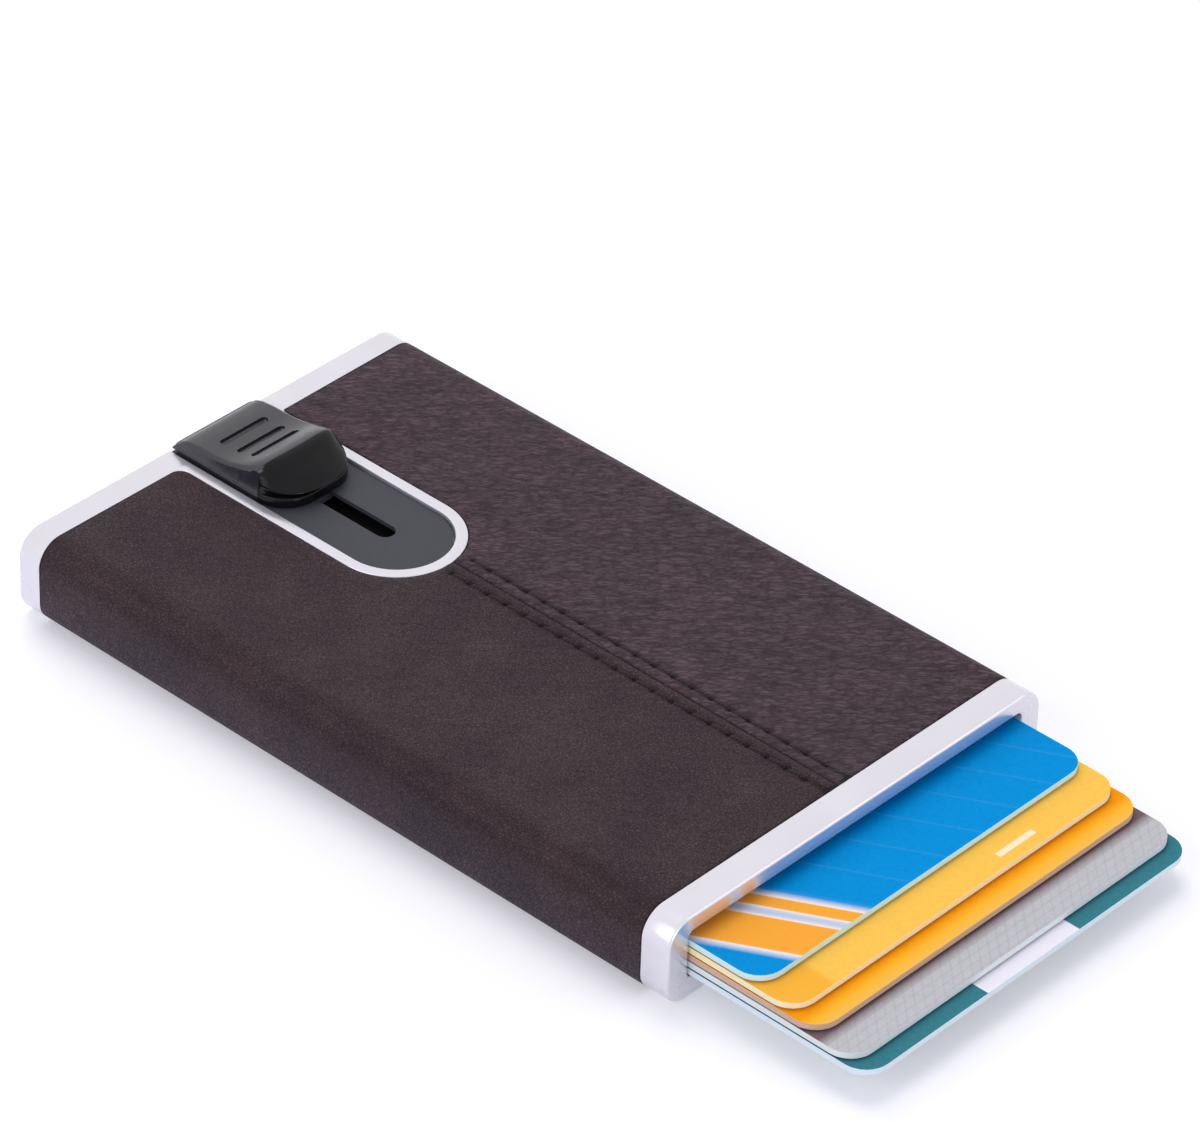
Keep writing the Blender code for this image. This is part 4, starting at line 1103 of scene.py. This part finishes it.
# %% Slider body
slider_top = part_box("slider_button")[1][2]
rows = [(y / 1000, top / 1000, BODY_LOW) for y, top in TAIL_ROWS]
rows += [(y / 1000, top / 1000, low / 1000) for y, top, low in NOSE_ROWS]
columns = sorted({side * x / 1000 for side in (-1, 1) for x in COLUMNS})
button = add_box(
    "thumb_slider", (-SLIDER_HALF_WIDTH, rows[-1][0], BODY_LOW), (SLIDER_HALF_WIDTH, rows[0][0], slider_top)
)
take(button)
for x in columns:
    bpy.ops.mesh.select_all(action="SELECT")
    bpy.ops.mesh.bisect(plane_co=(x, 0, 0), plane_no=(1, 0, 0))
for y, top, low in rows[1:-1]:
    bpy.ops.mesh.select_all(action="SELECT")
    bpy.ops.mesh.bisect(plane_co=(0, y, 0), plane_no=(0, 1, 0))
for y, top, low in rows:
    for x in [-SLIDER_HALF_WIDTH] + columns + [SLIDER_HALF_WIDTH]:
        back = nose_push(x, y)
        up = lip_rise(x, y)
        down = crest_drop(x, top)
        pick("VERT", lambda middle, point: (middle - Vector((x, y, slider_top))).length < 0.00002)
        lean = -x / SLIDER_HALF_WIDTH * SIDE_LEAN * (top - BODY_LOW)
        bpy.ops.transform.translate(value=(lean, back, top + up - down - slider_top))
        pick("VERT", lambda middle, point: (middle - Vector((x, y, BODY_LOW))).length < 0.00002)
        bpy.ops.transform.translate(
            value=(-x / SLIDER_HALF_WIDTH * SIDE_LEAN * (low - BODY_LOW), back, low + up - BODY_LOW)
        )
leave()
print("slider body:", len(button.data.vertices), "points")

# %% [markdown]
# Moulded edges are never sharp. The rim of the thumb rest is rounded most, and the thin lip only a little,
# so that it still draws a fine bright line.

# %% Slider rims
THUMB_RIM_RADIUS, NOSE_RIM_RADIUS = 0.00042, 0.00010


def on_thumb_rim(middle, edge):
    """True for the long rims at both sides of the thumb rest."""
    along = abs(edge.verts[0].co.y - edge.verts[1].co.y) > 0.0002
    at_side = abs(middle.x) > 0.0055 and middle.z > 0.0117 and middle.y > CREST_Y
    return along and at_side and edge.calc_face_angle(0) > 0.9


take(button)
found = pick("EDGE", on_thumb_rim)
round_edges(THUMB_RIM_RADIUS, 4)
print("thumb rim edges:", found)
found = pick(
    "EDGE", lambda middle, edge: middle.y < 0.0363 and middle.z > 0.0120 and edge.calc_face_angle(0) > 0.8
)
bpy.ops.mesh.bevel(offset=NOSE_RIM_RADIUS, segments=3, profile=0.5, affect="EDGES", clamp_overlap=True)
print("nose rim edges:", found)
leave()

# %% [markdown]
# The foot is a plate with rounded front corners, and the stem below it runs in the slot. The grooves are
# cut with a capsule: a ball whose two halves are pulled apart, so that each groove has a round floor and
# round ends.

# %% Foot, stem and grooves
FOOT_HALF_WIDTH = 0.0064
FOOT_LOW, FOOT_HIGH = 0.01075, 0.0119
FOOT_FRONT, FOOT_REAR = 0.0314, 0.0497
FOOT_CORNER_RADIUS, REAR_CORNER_RADIUS, FOOT_RIM_RADIUS = 0.0045, 0.0007, 0.0003
GROOVES = ((0.0445, 0.01314), (0.0417, 0.01330), (0.0394, 0.01393))
GROOVE_RADIUS = 0.00054
GROOVE_HALF_LENGTH = 0.0037
GROOVE_SINK = 0.00018
STEM_HALF_WIDTH = 0.00095
STEM_FRONT, STEM_REAR = 0.0329, 0.0399
STEM_LOW, STEM_HIGH = 0.00812, 0.0110

foot = add_box("foot", (-FOOT_HALF_WIDTH, FOOT_FRONT, FOOT_LOW), (FOOT_HALF_WIDTH, FOOT_REAR, FOOT_HIGH))
take(foot)
pick("EDGE", lambda middle, edge: abs(edge.verts[0].co.z - edge.verts[1].co.z) > 0.001 and middle.y < 0.032)
round_edges(FOOT_CORNER_RADIUS, 16)
pick("EDGE", lambda middle, edge: abs(edge.verts[0].co.z - edge.verts[1].co.z) > 0.001 and middle.y > 0.0495)
round_edges(REAR_CORNER_RADIUS, 6)
pick("FACE", lambda middle, face: face.normal.z > 0.9)
bpy.ops.mesh.region_to_loop()
round_edges(FOOT_RIM_RADIUS, 4)
leave()
join_to(button, foot)
for y, z in GROOVES:
    bpy.ops.object.select_all(action="DESELECT")
    bpy.ops.mesh.primitive_uv_sphere_add(
        segments=20, ring_count=15, radius=GROOVE_RADIUS, location=(0, y, z - GROOVE_SINK),
        rotation=(0, math.radians(90), 0)
    )
    bpy.ops.object.transform_apply(location=True, rotation=True, scale=True)
    capsule = bpy.context.object
    take(capsule)
    for side in (-1, 1):
        pick("VERT", lambda middle, point: side * middle.x > 0)
        bpy.ops.transform.translate(value=(side * (GROOVE_HALF_LENGTH - GROOVE_RADIUS), 0, 0))
    leave()
    cut_away(button, capsule)
stem = add_box("stem", (-STEM_HALF_WIDTH, STEM_FRONT, STEM_LOW), (STEM_HALF_WIDTH, STEM_REAR, STEM_HIGH))
take(stem)
pick("EDGE", lambda middle, edge: abs(edge.verts[0].co.z - edge.verts[1].co.z) > 0.001)
round_edges(STEM_HALF_WIDTH - 0.00001, 8)
leave()
join_to(button, stem)
smooth(button, 38)
print("slider:", len(button.data.polygons), "faces")

# %% [markdown]
# The piece has two finishes, so it gets two material slots, and the faces in front of the crest are given the
# second one, the polished plastic, whose deeper black is partly painted shade.

# %% Slider finish
button.data.materials.append(abs_black)
button.data.materials.append(abs_polished)
take(button)
polished = pick("FACE", lambda middle, face: middle.y < 0.0360)
button.active_material_index = 1
bpy.ops.object.material_slot_assign()
leave()
print("polished faces:", polished)
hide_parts("slider_button")
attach(button, "slider")
